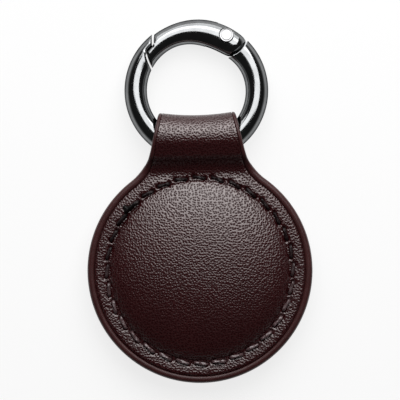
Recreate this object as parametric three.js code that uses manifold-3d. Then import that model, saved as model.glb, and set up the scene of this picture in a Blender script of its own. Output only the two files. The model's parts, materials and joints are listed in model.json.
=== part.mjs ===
// Round leather key fob with a proximity tag sewn inside and a spring-gated ring.
// Millimetres, +Z up. The fob lies on its back and +Y runs from the disc to the ring.
// The origin is the centre of the flat on the back.
import * as THREE from "three";
import { mergeVertices } from "three/addons/utils/BufferGeometryUtils.js";
import Module from "manifold-3d";

const degrees = Math.PI / 180;

// Proximity tag: two plastic shells round a coil and a chip.
const TAG_DIAMETER = 27.2;
const TAG_HEIGHT = 4.3;
const TAG_BASE_HEIGHT = 2.7;
const TAG_WALL = 0.9;
const TAG_CHAMFER = 1.3;
const COIL_WIDTH = 2.6;
const COIL_HEIGHT = 1.3;
const COIL_LEAD = 0.5;
const BOARD_SIZE = 6.4;
const BOARD_THICKNESS = 0.6;
const CHIP_SIZE = 3;
const CHIP_HEIGHT = 0.7;
const SEAT_GAP = 0.1;
const COIL_SEGMENTS = 32;

// Leather: one piece, folded over the ring and closed round the tag.
const LEATHER = 1;
const FILM = 0.2;
const POCKET_SIDE_ROOM = 1.3;
const POCKET_END_ROOM = 0.2;
const DOME_RISE = 3;
const DOME_POWER = 1.5;
const DOME_TO_STITCH = 0.6;
const STITCH_TO_EDGE = 3.5;
const BACK_FLAT_DIAMETER = 24;
const RIM_ROUND = 0.9;
const BEAD_WIDTH = 1.2;
const CREASE = 0.15;
const FILM_INSET = 0.3;
const PAD_INSET = 2.4;
const DISC_SEGMENTS = 40;
const DOME_RINGS = 5;
const RIM_STEPS = 3;

// Neck and fold, in plan and from the side.
const NECK_FILLET = 10;
const NECK_TAPER = 13 * degrees;
const NECK_LENGTH = 2.6;
const CREST_HALF_WIDTH = 6.85;
const CREST_CORNER = 0.8;
const EYE_STRAIGHT = 1.2;
const EYE_FLARE = 0.2;
const EYE_PLAIN_HALF = 5;
const VALLEY_FILLET = 1.2;
const FILLET_STEPS = 6;
const CORNER_STEPS = 3;
const FOLD_STEPS = 8;
const VALLEY_STEPS = 4;
const EYE_STEPS = 10;

// Stitching: needle thread on the front and bobbin thread on the back.
const STITCHES = 32;
const STITCH_START = -50 * degrees;
const THREAD = 0.6;
const THREAD_ROOM = 0.15;
const THREAD_LIFT = 0.06;
const GROOVE_DEPTH = 0.3;
const GROOVE_WIDTH = 1.3;
const STEPS_PER_STITCH = 6;
const THREAD_SIDES = 4;

// Ring: round wire that swells inwards at the hinge of its gate.
const RING_BORE = 17.6;
const WIRE = 4;
const SWING_ROOM = 1.3;
const WIRE_REST = 0.2;
const HINGE_SWELL = 0.9;
const SWELL_ANGLE = 25 * degrees;
const SWELL_SPREAD = 25 * degrees;
const WIRE_SIDES = 12;
const WIRE_STEP = 9 * degrees;
const FLOOR_GAP = 0.05;

// Hinge of the gate. Angles on the ring run clockwise from the far end.
const PIN_ANGLE = 30 * degrees;
const PIN_DEPTH = 1.7;
const PIN_DIAMETER = 1.5;
const PIN_ROOM = 0.1;
const RIVET_HEAD = 2.6;
const RIVET_SEAT = 1.25;
const RIVET_TOP = 1.95;
const RIVET_CHAMFER = 0.25;
const KNUCKLE_RADIUS = 3.6;
const KNUCKLE_GAP = 0.3;
const TONGUE_THICKNESS = 1;
const TONGUE_ROOM = 0.2;
const TONGUE_NOSE = 1.5;
const TONGUE_DROP = 1.7;
const TONGUE_RISE = 1.2;
const SLOT_FLOOR_ROOM = 0.2;
const PIN_SEGMENTS = 20;

// Spring and plunger that push the gate shut, in a bore that follows the gate.
const BORE_TILT = 12 * degrees;
const BORE_OFFSET = 0.8;
const BORE_DEPTH = 6.4;
const PLUNGER_DIAMETER = 1.3;
const PLUNGER_ROOM = 0.15;
const PLUNGER_GAP = 0.15;
const PLUNGER_HEAD = 0.9;
const PLUNGER_STEM = 0.5;
const PLUNGER_STEM_LENGTH = 1.1;
const SPRING_WIRE = 0.26;
const SPRING_TURNS = 4;
const SPRING_SEAT = 0.12;
const SPRING_STEPS_PER_TURN = 8;

// Lap where the free end of the gate meets the ring: the angle of each corner of the step.
const LAP_RADIUS = 11.15;
const LAP_GAP = 0.16;
const GATE_LAP = [-34.5, -42, -52, -61.5].map((angle) => angle * degrees);
const RING_LAP = [-38, -44.5, -54, -67].map((angle) => angle * degrees);

// Places that follow from the sizes above.
const POCKET_RADIUS = TAG_DIAMETER / 2 + POCKET_SIDE_ROOM;
const DOME_RADIUS = POCKET_RADIUS + LEATHER;
const STITCH_RADIUS = DOME_RADIUS + DOME_TO_STITCH;
const DISC_RADIUS = STITCH_RADIUS + STITCH_TO_EDGE;
const EYE_RADIUS = WIRE / 2 + SWING_ROOM;
const FOLD_RADIUS = EYE_RADIUS + LEATHER;
const MID_Z = FOLD_RADIUS;
const RIM_HALF = LEATHER + FILM / 2;
const FRONT_RIM_Z = MID_Z + RIM_HALF;
const BACK_RIM_Z = MID_Z - RIM_HALF;
const CROWN_Z = FRONT_RIM_Z + DOME_RISE;
const EYE_BOTTOM_Y = STITCH_RADIUS + NECK_LENGTH;
const EYE_LOW_Y = EYE_BOTTOM_Y + EYE_RADIUS;
const EYE_HIGH_Y = EYE_LOW_Y + EYE_STRAIGHT;
const CREST_Y = EYE_HIGH_Y + FOLD_RADIUS;
const LEATHER_INSET = BEAD_WIDTH + CREASE;
const TAG_BOTTOM_Z = LEATHER + POCKET_END_ROOM;
const TAG_SPLIT_Z = TAG_BOTTOM_Z + TAG_BASE_HEIGHT;
const TAG_TOP_Z = TAG_BOTTOM_Z + TAG_HEIGHT;
const TAG_FLOOR_Z = TAG_BOTTOM_Z + TAG_WALL;
const TAG_FLOOR_RADIUS = TAG_DIAMETER / 2 - TAG_WALL - TAG_CHAMFER;

const RING_RADIUS = (RING_BORE + WIRE) / 2;
const RING_OUTER = RING_RADIUS + WIRE / 2;
const WIRE_LOW_Y = EYE_BOTTOM_Y + WIRE_REST + WIRE / 2;
const RING_CENTRE_Y = WIRE_LOW_Y + RING_RADIUS;
const SWING_Y = (EYE_LOW_Y + EYE_HIGH_Y) / 2;
const RING_REACH = RING_CENTRE_Y + RING_RADIUS - SWING_Y;
const RING_DROOP = Math.asin((MID_Z - WIRE / 2 - FLOOR_GAP) / RING_REACH);
const PIN_RADIUS = RING_OUTER - PIN_DEPTH;
const SLOT_FLOOR = Math.hypot(TONGUE_NOSE, TONGUE_DROP) + SLOT_FLOOR_ROOM;

const wasm = await Module();
wasm.setup();

// A closed geometry as a solid that can be joined and cut.
function toSolid(geometry) {
  const bare = new THREE.BufferGeometry();
  bare.setAttribute("position", geometry.getAttribute("position"));
  bare.setIndex(geometry.index);
  const merged = mergeVertices(bare, 1e-4);
  const corners = merged.index.array;
  const kept = [];
  for (let i = 0; i < corners.length; i += 3) {
    const [a, b, c] = corners.subarray(i, i + 3);
    if (a !== b && b !== c && c !== a) kept.push(a, b, c);
  }
  const vertProperties = new Float32Array(merged.attributes.position.array);
  const triVerts = new Uint32Array(kept);
  return new wasm.Manifold(new wasm.Mesh({ numProp: 3, vertProperties, triVerts }));
}

// A solid as a geometry that a mesh can hold.
function toGeometry(solid) {
  const mesh = solid.getMesh();
  const geometry = new THREE.BufferGeometry();
  geometry.setAttribute("position", new THREE.BufferAttribute(mesh.vertProperties, 3));
  geometry.setIndex(new THREE.BufferAttribute(mesh.triVerts, 1));
  geometry.computeVertexNormals();
  return geometry;
}

// Points of a circular arc in a plane, both ends included.
function arc(x, y, radius, from, to, steps) {
  return Array.from({ length: steps + 1 }, (_, i) => {
    const angle = from + ((to - from) * i) / steps;
    return new THREE.Vector2(x + radius * Math.cos(angle), y + radius * Math.sin(angle));
  });
}

// A shape from stretches of points, without the repeats where two stretches meet.
function shapeOf(...stretches) {
  const points = stretches.flat();
  const last = points.length - 1;
  return new THREE.Shape(
    points.filter((point, i) => point.distanceTo(points[i === last ? 0 : i + 1]) > 1e-3),
  );
}

// A plan shape as a plate between two heights.
function plate(shape, low, high) {
  const geometry = new THREE.ExtrudeGeometry(shape, { depth: high - low, bevelEnabled: false });
  geometry.translate(0, 0, low);
  return toSolid(geometry);
}

// A profile of radius and height turned about Z.
function turned(profile, segments) {
  const points = profile.map(([radius, height]) => new THREE.Vector2(radius, height));
  return toSolid(new THREE.LatheGeometry(points, segments).rotateX(Math.PI / 2));
}

// An upright round bar.
function upright(x, y, radius, low, high, segments) {
  const geometry = new THREE.CylinderGeometry(radius, radius, high - low, segments);
  geometry.rotateX(Math.PI / 2).translate(x, y, (low + high) / 2);
  return toSolid(geometry);
}

// A box between two corners.
function box(low, high) {
  const size = high.map((value, i) => value - low[i]);
  const middle = high.map((value, i) => (value + low[i]) / 2);
  return toSolid(new THREE.BoxGeometry(...size).translate(...middle));
}

// A skin over convex rings of points that turn right-handed about their direction of travel.
function loft(rings) {
  const count = rings[0].length;
  const index = [];
  for (let i = 0; i + 1 < rings.length; i += 1) {
    for (let j = 0; j < count; j += 1) {
      const next = (j + 1) % count;
      const [a, b] = [i * count + j, i * count + next];
      index.push(a, b, b + count, a, b + count, a + count);
    }
  }
  const end = (rings.length - 1) * count;
  for (let j = 1; j + 1 < count; j += 1) {
    index.push(0, j + 1, j, end, end + j, end + j + 1);
  }
  const geometry = new THREE.BufferGeometry().setFromPoints(rings.flat());
  geometry.setIndex(index);
  return toSolid(geometry);
}

// A round section with few sides, for threads and spring wire.
function tubeSection(diameter, sides) {
  return new THREE.Shape(arc(0, 0, diameter / 2, 0, 2 * Math.PI, sides).slice(0, sides));
}

// Plan outline of the folded leather, its sides drawn in by inset and its fold ending at crestY.
function fobOutline(inset, crestY) {
  const radius = DISC_RADIUS - inset;
  const fillet = NECK_FILLET + inset;
  const across = CREST_HALF_WIDTH * Math.cos(NECK_TAPER) + CREST_Y * Math.sin(NECK_TAPER) - inset;
  const along = Math.sqrt((radius + fillet) ** 2 - (across + fillet) ** 2);
  const filletX = (across + fillet) * Math.cos(NECK_TAPER) - along * Math.sin(NECK_TAPER);
  const filletY = (across + fillet) * Math.sin(NECK_TAPER) + along * Math.cos(NECK_TAPER);
  const meet = Math.atan2(filletY, filletX);
  const cornerY = crestY - CREST_CORNER;
  const cornerX = (across - CREST_CORNER - cornerY * Math.sin(NECK_TAPER)) / Math.cos(NECK_TAPER);
  const side = [
    ...arc(filletX, filletY, fillet, Math.PI + meet, Math.PI + NECK_TAPER, FILLET_STEPS),
    ...arc(cornerX, cornerY, CREST_CORNER, NECK_TAPER, Math.PI / 2, CORNER_STEPS),
  ];
  const mirrored = side.map((point) => new THREE.Vector2(-point.x, point.y)).reverse();
  const disc = arc(0, 0, radius, Math.PI - meet, 2 * Math.PI + meet, DISC_SEGMENTS);
  return shapeOf(disc, side, mirrored);
}

// Half-thickness profile of the fold in the YZ plane: flat neck, valley and round fold.
function foldProfile() {
  const rise = RIM_HALF + VALLEY_FILLET;
  const run = Math.sqrt((FOLD_RADIUS + VALLEY_FILLET) ** 2 - rise ** 2);
  const valleyY = EYE_LOW_Y - run;
  const lean = Math.atan2(rise, run);
  const front = [
    ...arc(EYE_HIGH_Y, 0, FOLD_RADIUS, 0, Math.PI / 2, FOLD_STEPS),
    ...arc(EYE_LOW_Y, 0, FOLD_RADIUS, Math.PI / 2, Math.PI - lean, FOLD_STEPS),
    ...arc(valleyY, rise, VALLEY_FILLET, -lean, -Math.PI / 2, VALLEY_STEPS),
    new THREE.Vector2(STITCH_RADIUS, RIM_HALF),
  ];
  const back = front.map((point) => new THREE.Vector2(point.x, -point.y)).reverse();
  return shapeOf(front, back);
}

// The fold as a bar along X, before its sides are cut to the outline.
function foldBar() {
  const depth = 2 * DISC_RADIUS;
  const geometry = new THREE.ExtrudeGeometry(foldProfile(), { depth, bevelEnabled: false });
  geometry.translate(0, 0, -depth / 2);
  const [x, y, z] = [new THREE.Vector3(1, 0, 0), new THREE.Vector3(0, 1, 0), new THREE.Vector3(0, 0, 1)];
  geometry.applyMatrix4(new THREE.Matrix4().makeBasis(y, z, x));
  return toSolid(geometry.translate(0, 0, MID_Z));
}

// The eye through the fold, flared towards both mouths so that the ring can swing.
function foldEye() {
  const ring = (x, radius) => [
    ...arc(EYE_HIGH_Y, MID_Z, radius, -Math.PI / 2, Math.PI / 2, EYE_STEPS),
    ...arc(EYE_LOW_Y, MID_Z, radius, Math.PI / 2, 1.5 * Math.PI, EYE_STEPS),
  ].map((point) => new THREE.Vector3(x, point.x, point.y));
  const mouth = EYE_RADIUS + EYE_FLARE * (DISC_RADIUS - EYE_PLAIN_HALF);
  return loft([
    ring(-DISC_RADIUS, mouth),
    ring(-EYE_PLAIN_HALF, EYE_RADIUS),
    ring(EYE_PLAIN_HALF, EYE_RADIUS),
    ring(DISC_RADIUS, mouth),
  ]);
}

// Points of a swollen curve from its crown at the axis or at a flat to its foot.
function swell(flat, foot, crown, base) {
  return Array.from({ length: DOME_RINGS + 1 }, (_, i) => {
    const angle = ((Math.PI / 2) * i) / DOME_RINGS;
    const radius = flat + (foot - flat) * Math.sin(angle);
    const height = base + (crown - base) * Math.max(Math.cos(angle), 0) ** DOME_POWER;
    return [radius, height];
  });
}

// Outside of the swollen middle, front and back.
function swollenMiddle() {
  const back = swell(BACK_FLAT_DIAMETER / 2, DOME_RADIUS, 0, BACK_RIM_Z);
  const front = swell(0, DOME_RADIUS, CROWN_Z, FRONT_RIM_Z).reverse();
  return turned([[0, 0], ...back, ...front], DISC_SEGMENTS);
}

// The pocket inside it that holds the tag and the pad.
function tagPocket() {
  const flat = BACK_FLAT_DIAMETER / 2 - LEATHER / 2;
  const back = swell(flat, POCKET_RADIUS, LEATHER, MID_Z - FILM / 2);
  const front = swell(0, POCKET_RADIUS, CROWN_Z - LEATHER, MID_Z + FILM / 2).reverse();
  return turned([[0, LEATHER], ...back, ...front], DISC_SEGMENTS);
}

// Slits cut through both panels, one for each stitch.
function awlSlits() {
  const pitch = (2 * Math.PI * STITCH_RADIUS) / STITCHES;
  const long = pitch / STEPS_PER_STITCH + THREAD / 2 + THREAD_ROOM;
  const wide = THREAD / 2 + THREAD_ROOM;
  return Array.from({ length: STITCHES }, (_, i) => {
    const geometry = new THREE.BoxGeometry(2 * long, 2 * wide, 4 * RIM_HALF);
    geometry.translate(0, STITCH_RADIUS, MID_Z);
    geometry.rotateZ(-STITCH_START - (2 * Math.PI * i) / STITCHES);
    return toSolid(geometry);
  }).reduce((all, slit) => all.add(slit));
}

// A shallow channel for the stitches on one face, where side is 1 on the front and -1 on the back.
function stitchGroove(side) {
  const face = MID_Z + side * RIM_HALF;
  const half = GROOVE_WIDTH / 2;
  const profile = [
    [STITCH_RADIUS, face - side * GROOVE_DEPTH],
    [STITCH_RADIUS + half, face],
    [STITCH_RADIUS + half, face + side * GROOVE_DEPTH],
    [STITCH_RADIUS - half, face + side * GROOVE_DEPTH],
    [STITCH_RADIUS - half, face],
    [STITCH_RADIUS, face - side * GROOVE_DEPTH],
  ];
  return turned(side > 0 ? profile : profile.reverse(), DISC_SEGMENTS);
}

// Leather and edge bead before they are parted: a plate with round edges and the fold.
function foldedBlank() {
  const inner = fobOutline(RIM_ROUND, CREST_Y - LEATHER / 2 - RIM_ROUND);
  const geometry = new THREE.ExtrudeGeometry(inner, {
    depth: 2 * (RIM_HALF - RIM_ROUND),
    bevelThickness: RIM_ROUND,
    bevelSize: RIM_ROUND,
    bevelSegments: RIM_STEPS,
  });
  geometry.translate(0, 0, MID_Z - RIM_HALF + RIM_ROUND);
  const sides = plate(fobOutline(0, CREST_Y), -FOLD_RADIUS, MID_Z + 2 * FOLD_RADIUS);
  return toSolid(geometry).add(foldBar().intersect(sides)).subtract(foldEye());
}

// The one piece of leather: front panel, fold and back panel.
function leatherWrap() {
  const upper = MID_Z + 2 * FOLD_RADIUS;
  const sides = plate(fobOutline(LEATHER_INSET, CREST_Y + FOLD_RADIUS), -FOLD_RADIUS, upper);
  const reach = 2 * DISC_RADIUS;
  const parting = box([-reach, -reach, MID_Z - FILM / 2], [reach, EYE_LOW_Y, MID_Z + FILM / 2]);
  return foldedBlank()
    .intersect(sides)
    .add(swollenMiddle())
    .subtract(tagPocket())
    .subtract(parting)
    .subtract(stitchGroove(1))
    .subtract(stitchGroove(-1))
    .subtract(awlSlits());
}

// Smooth bead built up along the cut edges, round the disc and up both sides of the fold.
function edgeBead() {
  const core = fobOutline(BEAD_WIDTH, CREST_Y + FOLD_RADIUS);
  return foldedBlank().subtract(plate(core, -FOLD_RADIUS, MID_Z + 2 * FOLD_RADIUS));
}

// Film of cement between the panels, round the tag and up the neck.
function cementFilm() {
  const low = MID_Z - FILM / 2;
  const high = MID_Z + FILM / 2;
  const reach = 2 * DISC_RADIUS;
  const above = box([-reach, EYE_BOTTOM_Y - FILM_INSET, 0], [reach, reach, CROWN_Z]);
  const middle = upright(0, 0, POCKET_RADIUS + FILM_INSET, 0, CROWN_Z, DISC_SEGMENTS);
  return plate(fobOutline(LEATHER_INSET + FILM_INSET, CREST_Y), low, high)
    .subtract(above)
    .subtract(middle)
    .subtract(awlSlits());
}

// Course of a thread round the disc: level over each stitch and down to the lock in each slit.
class ThreadCourse extends THREE.Curve {
  constructor(side) {
    super();
    this.level = MID_Z + side * (RIM_HALF - GROOVE_DEPTH + THREAD / 2 + THREAD_LIFT);
    this.lock = MID_Z + side * (THREAD / 2 + THREAD_LIFT);
  }

  getPoint(t, target = new THREE.Vector3()) {
    const phase = (t * STITCHES) % 1;
    const near = Math.min(phase, 1 - phase) * STEPS_PER_STITCH;
    const sunk = Math.max(0, 1 - near);
    const part = (THREAD / 2 + THREAD_LIFT) / STITCH_RADIUS;
    const turn = THREE.MathUtils.clamp(2 * Math.PI * t, part, 2 * Math.PI - part);
    const angle = STITCH_START + turn;
    const height = this.level + (this.lock - this.level) * sunk;
    return target.set(STITCH_RADIUS * Math.sin(angle), STITCH_RADIUS * Math.cos(angle), height);
  }

  getPointAt(u, target) {
    return this.getPoint(u, target);
  }

  getTangentAt(u, target) {
    return this.getTangent(u, target);
  }
}

// One thread, on the front where side is 1 and on the back where it is -1.
function thread(side) {
  const steps = STITCHES * STEPS_PER_STITCH;
  const section = tubeSection(THREAD, THREAD_SIDES);
  const extrudePath = new ThreadCourse(side);
  return toSolid(new THREE.ExtrudeGeometry(section, { steps, extrudePath }));
}

// Foam lens between the tag and the front panel, which gives the front its crown.
function foamPad() {
  const base = MID_Z + FILM / 2 - POCKET_END_ROOM;
  const crown = CROWN_Z - LEATHER - POCKET_END_ROOM;
  const swollen = turned([[0, base], ...swell(0, POCKET_RADIUS, crown, base).reverse()], COIL_SEGMENTS);
  const edge = TAG_DIAMETER / 2 - PAD_INSET;
  return swollen.intersect(upright(0, 0, edge, TAG_TOP_Z + SEAT_GAP, CROWN_Z, COIL_SEGMENTS));
}

// Lower shell of the tag, a cup with a chamfered foot.
function tagBase() {
  const radius = TAG_DIAMETER / 2;
  return turned([
    [0, TAG_BOTTOM_Z],
    [radius - 2 * TAG_CHAMFER, TAG_BOTTOM_Z],
    [radius, TAG_BOTTOM_Z + TAG_CHAMFER],
    [radius, TAG_SPLIT_Z],
    [radius - TAG_WALL, TAG_SPLIT_Z],
    [radius - TAG_WALL, TAG_FLOOR_Z + TAG_CHAMFER / 2],
    [TAG_FLOOR_RADIUS, TAG_FLOOR_Z],
    [0, TAG_FLOOR_Z],
  ], COIL_SEGMENTS);
}

// Upper shell of the tag, seated on the rim of the lower one.
function tagCover() {
  const radius = TAG_DIAMETER / 2;
  const shoulder = TAG_TOP_Z - TAG_WALL;
  return turned([
    [radius - TAG_WALL, TAG_SPLIT_Z],
    [radius, TAG_SPLIT_Z],
    [radius, shoulder],
    [radius - PAD_INSET, TAG_TOP_Z],
    [0, TAG_TOP_Z],
    [0, TAG_TOP_Z - TAG_WALL],
    [radius - PAD_INSET, shoulder],
    [radius - TAG_WALL, TAG_SPLIT_Z],
  ], COIL_SEGMENTS);
}

// Bonded winding that fills the floor of the tag, with two leads that end beside the board.
function antennaCoil() {
  const low = TAG_FLOOR_Z + SEAT_GAP;
  const outer = TAG_FLOOR_RADIUS + SEAT_GAP;
  const inner = outer - COIL_WIDTH;
  const ring = turned([
    [inner, low],
    [outer, low],
    [outer, low + COIL_HEIGHT],
    [inner, low + COIL_HEIGHT],
    [inner, low],
  ], COIL_SEGMENTS);
  const lead = (x) => box(
    [x - COIL_LEAD / 2, BOARD_SIZE / 2 + SEAT_GAP, low],
    [x + COIL_LEAD / 2, inner + COIL_WIDTH / 2, low + COIL_LEAD],
  );
  return ring.add(lead(-BOARD_SIZE / 4)).add(lead(BOARD_SIZE / 4));
}

// Carrier board on the floor of the tag.
function chipBoard() {
  const half = BOARD_SIZE / 2;
  return box([-half, -half, TAG_FLOOR_Z], [half, half, TAG_FLOOR_Z + BOARD_THICKNESS]);
}

// Potted chip on the board.
function tagChip() {
  const half = CHIP_SIZE / 2;
  const low = TAG_FLOOR_Z + BOARD_THICKNESS;
  return box([-half, -half, low], [half, half, low + CHIP_HEIGHT]);
}

// Inner radius of the ring at an angle: the bore, less the swelling at the hinge.
function innerRadius(angle) {
  return RING_BORE / 2 - HINGE_SWELL * Math.exp(-(((angle - SWELL_ANGLE) / SWELL_SPREAD) ** 2) / 2);
}

// Ring stock between two angles: an oval section whose inner edge follows the swelling.
function ringStock(from, to) {
  const steps = Math.ceil((to - from) / WIRE_STEP);
  return loft(Array.from({ length: steps + 1 }, (_, i) => {
    const angle = from + ((to - from) * i) / steps;
    const turn = Math.atan2(Math.sin(angle), Math.cos(angle));
    const inner = innerRadius(turn);
    const middle = (RING_OUTER + inner) / 2;
    const half = (RING_OUTER - inner) / 2;
    return Array.from({ length: WIRE_SIDES }, (__, j) => {
      const phase = (2 * Math.PI * (j + 0.5)) / WIRE_SIDES;
      const radius = middle + half * Math.cos(phase);
      const height = (WIRE / 2) * Math.sin(phase);
      return new THREE.Vector3(radius * Math.sin(angle), radius * Math.cos(angle), height);
    });
  }));
}

// Places on the hinge: along the gate, outwards from the ring's centre, and up.
const PIN_X = PIN_RADIUS * Math.sin(PIN_ANGLE);
const PIN_Y = PIN_RADIUS * Math.cos(PIN_ANGLE);

// Moves a geometry made along X and Y at the origin to the pin, with X along the gate.
function toHinge(geometry) {
  geometry.rotateY(Math.PI);
  geometry.rotateZ(-PIN_ANGLE);
  return geometry.translate(PIN_X, PIN_Y, 0);
}

// A box in the hinge's own directions.
function hingeBox(low, high, thickness) {
  const size = [high[0] - low[0], high[1] - low[1], thickness];
  const geometry = new THREE.BoxGeometry(...size);
  geometry.translate((low[0] + high[0]) / 2, (low[1] + high[1]) / 2, 0);
  return toSolid(toHinge(geometry));
}

// Everything on the gate's side of the lap, for the corner angles of one of its two faces.
function lapCutter(angles, step) {
  const [rim, high, low, bore] = angles;
  const corners = [
    [RING_OUTER + WIRE, rim],
    [RING_OUTER, rim],
    [step, high],
    [step, low],
    [RING_BORE / 2, bore],
    [RING_BORE / 2 - WIRE, bore],
  ];
  const edge = corners.map(([radius, angle]) => {
    return new THREE.Vector2(radius * Math.sin(angle), radius * Math.cos(angle));
  });
  const near = new THREE.Vector2(PIN_X, -PIN_Y / 2);
  const far = new THREE.Vector2(PIN_X, RING_OUTER + WIRE);
  return plate(shapeOf([...edge, near, far].reverse()), -WIRE, WIRE);
}

// Full circle about the pin that clears the knuckle of the gate.
function knuckle(radius) {
  return upright(PIN_X, PIN_Y, radius, -WIRE, WIRE, 2 * PIN_SEGMENTS);
}

// The fixed part of the ring, with the tongue that the gate's fork straddles.
function ringBody() {
  const tongue = hingeBox(
    [-KNUCKLE_RADIUS - WIRE / 2, -TONGUE_DROP],
    [TONGUE_NOSE, TONGUE_RISE],
    TONGUE_THICKNESS,
  );
  const lapStart = 2 * Math.PI + GATE_LAP[0];
  const round = ringStock(PIN_ANGLE, lapStart)
    .subtract(knuckle(KNUCKLE_RADIUS + KNUCKLE_GAP))
    .subtract(lapCutter(RING_LAP, LAP_RADIUS + LAP_GAP / 2));
  return round
    .add(tongue.intersect(ringStock(0, PIN_ANGLE + KNUCKLE_RADIUS / PIN_RADIUS + WIRE_STEP)))
    .subtract(knuckle(PIN_DIAMETER / 2 + PIN_ROOM));
}

// Bar along the spring bore between two distances from the pin.
function boreBar(radius, from, to, segments) {
  const geometry = new THREE.CylinderGeometry(radius, radius, to - from, segments);
  geometry.rotateZ(Math.PI / 2).translate((from + to) / 2, -BORE_OFFSET, 0).rotateZ(-BORE_TILT);
  return toSolid(toHinge(geometry));
}

// The gate: knuckle with fork and rivet holes, spring bore, and the tongue of the lap.
function ringGate() {
  const knuckleEnd = PIN_ANGLE + (KNUCKLE_RADIUS + WIRE) / PIN_RADIUS;
  const lapEnd = GATE_LAP[3] - WIRE_STEP;
  const seat = (side) => {
    const [low, high] = side > 0 ? [RIVET_SEAT, WIRE] : [-WIRE, -RIVET_SEAT];
    return upright(PIN_X, PIN_Y, RIVET_HEAD / 2 + PIN_ROOM, low, high, PIN_SEGMENTS);
  };
  const slot = hingeBox(
    [-2 * KNUCKLE_RADIUS, -2 * KNUCKLE_RADIUS],
    [SLOT_FLOOR, 2 * KNUCKLE_RADIUS],
    TONGUE_THICKNESS + 2 * TONGUE_ROOM,
  );
  return ringStock(PIN_ANGLE, knuckleEnd)
    .intersect(knuckle(KNUCKLE_RADIUS))
    .add(ringStock(lapEnd, PIN_ANGLE).intersect(lapCutter(GATE_LAP, LAP_RADIUS - LAP_GAP / 2)))
    .subtract(slot)
    .subtract(knuckle(PIN_DIAMETER / 2 + PIN_ROOM))
    .subtract(seat(1))
    .subtract(seat(-1))
    .subtract(boreBar(PLUNGER_DIAMETER / 2 + PLUNGER_ROOM, TONGUE_NOSE, BORE_DEPTH, PIN_SEGMENTS / 2));
}

// Rivet through the fork and the tongue, headed at both ends.
function hingeRivet() {
  const shank = PIN_DIAMETER / 2;
  const head = RIVET_HEAD / 2;
  const under = RIVET_SEAT + PIN_ROOM;
  return turned([
    [0, -RIVET_TOP],
    [head - RIVET_CHAMFER, -RIVET_TOP],
    [head, -RIVET_TOP + RIVET_CHAMFER],
    [head, -under],
    [shank, -under],
    [shank, under],
    [head, under],
    [head, RIVET_TOP - RIVET_CHAMFER],
    [head - RIVET_CHAMFER, RIVET_TOP],
    [0, RIVET_TOP],
  ], PIN_SEGMENTS).translate([PIN_X, PIN_Y, 0]);
}

// Distance along the bore from the pin to the plunger's face, just off the corner of the tongue.
const PLUNGER_FACE =
  TONGUE_NOSE * Math.cos(BORE_TILT) + TONGUE_DROP * Math.sin(BORE_TILT) + PLUNGER_GAP;

// Plunger that rides on the corner of the tongue, with a stem inside the spring.
function springPlunger() {
  const neck = PLUNGER_FACE + PLUNGER_HEAD;
  const head = boreBar(PLUNGER_DIAMETER / 2, PLUNGER_FACE, neck, PIN_SEGMENTS / 2);
  return head.add(boreBar(PLUNGER_STEM / 2, PLUNGER_FACE, neck + PLUNGER_STEM_LENGTH, PIN_SEGMENTS / 2));
}

// Helix along the X axis.
class Helix extends THREE.Curve {
  constructor(radius, length, turns) {
    super();
    Object.assign(this, { radius, length, turns });
  }

  getPoint(t, target = new THREE.Vector3()) {
    const angle = 2 * Math.PI * this.turns * t;
    return target.set(this.length * t, this.radius * Math.cos(angle), this.radius * Math.sin(angle));
  }
}

// Compression spring between the plunger's head and the floor of the bore.
function gateSpring() {
  const start = PLUNGER_FACE + PLUNGER_HEAD + SPRING_WIRE / 2 + SPRING_SEAT;
  const length = BORE_DEPTH - start - SPRING_WIRE / 2 - SPRING_SEAT;
  const extrudePath = new Helix((PLUNGER_DIAMETER - SPRING_WIRE) / 2, length, SPRING_TURNS);
  const section = tubeSection(SPRING_WIRE, THREAD_SIDES);
  const steps = SPRING_STEPS_PER_TURN * SPRING_TURNS;
  const geometry = new THREE.ExtrudeGeometry(section, { steps, extrudePath });
  geometry.translate(start, -BORE_OFFSET, 0).rotateZ(-BORE_TILT);
  return toSolid(toHinge(geometry));
}

// A named mesh with its own material.
function piece(name, solid, color, roughness, metalness) {
  const material = new THREE.MeshStandardMaterial({ color, roughness, metalness });
  const mesh = new THREE.Mesh(toGeometry(solid), material);
  mesh.name = name;
  return mesh;
}

const fob = new THREE.Group();
fob.add(
  piece("leather_wrap", leatherWrap(), 0x3a2020, 0.55, 0),
  piece("edge_bead", edgeBead(), 0x55302a, 0.4, 0),
  piece("cement_film", cementFilm(), 0xcbb68c, 0.7, 0),
  piece("needle_thread", thread(1), 0x2b1716, 0.6, 0),
  piece("bobbin_thread", thread(-1), 0x2b1716, 0.6, 0),
  piece("foam_pad", foamPad(), 0x37373a, 0.9, 0),
  piece("tag_cover", tagCover(), 0x1d1e21, 0.5, 0),
  piece("tag_base", tagBase(), 0x1d1e21, 0.5, 0),
  piece("antenna_coil", antennaCoil(), 0xb4703c, 0.4, 0.8),
  piece("chip_board", chipBoard(), 0x23513a, 0.5, 0),
  piece("tag_chip", tagChip(), 0x101012, 0.4, 0),
);

// The ring is modelled flat about its own centre, then droops about the swing axis on to the table.
const ring = new THREE.Group();
ring.position.set(0, RING_CENTRE_Y - SWING_Y, 0);
ring.add(
  piece("ring_body", ringBody(), 0x2c2d31, 0.18, 1),
  piece("ring_gate", ringGate(), 0x2c2d31, 0.18, 1),
  piece("hinge_rivet", hingeRivet(), 0x34353a, 0.22, 1),
  piece("gate_spring", gateSpring(), 0xa9acb2, 0.3, 1),
  piece("spring_plunger", springPlunger(), 0x8d9096, 0.3, 1),
);

const swing = new THREE.Group();
swing.position.set(0, SWING_Y, MID_Z);
swing.rotation.x = -RING_DROOP;
swing.add(ring);

const keyFob = new THREE.Group();
keyFob.add(fob, swing);

export default keyFob;
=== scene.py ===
"""Looks of a round leather key fob on a spring-gate ring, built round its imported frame.

Metres, +Z up. The fob lies on its back and +Y runs from the disc to the ring.
"""
import json

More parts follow.
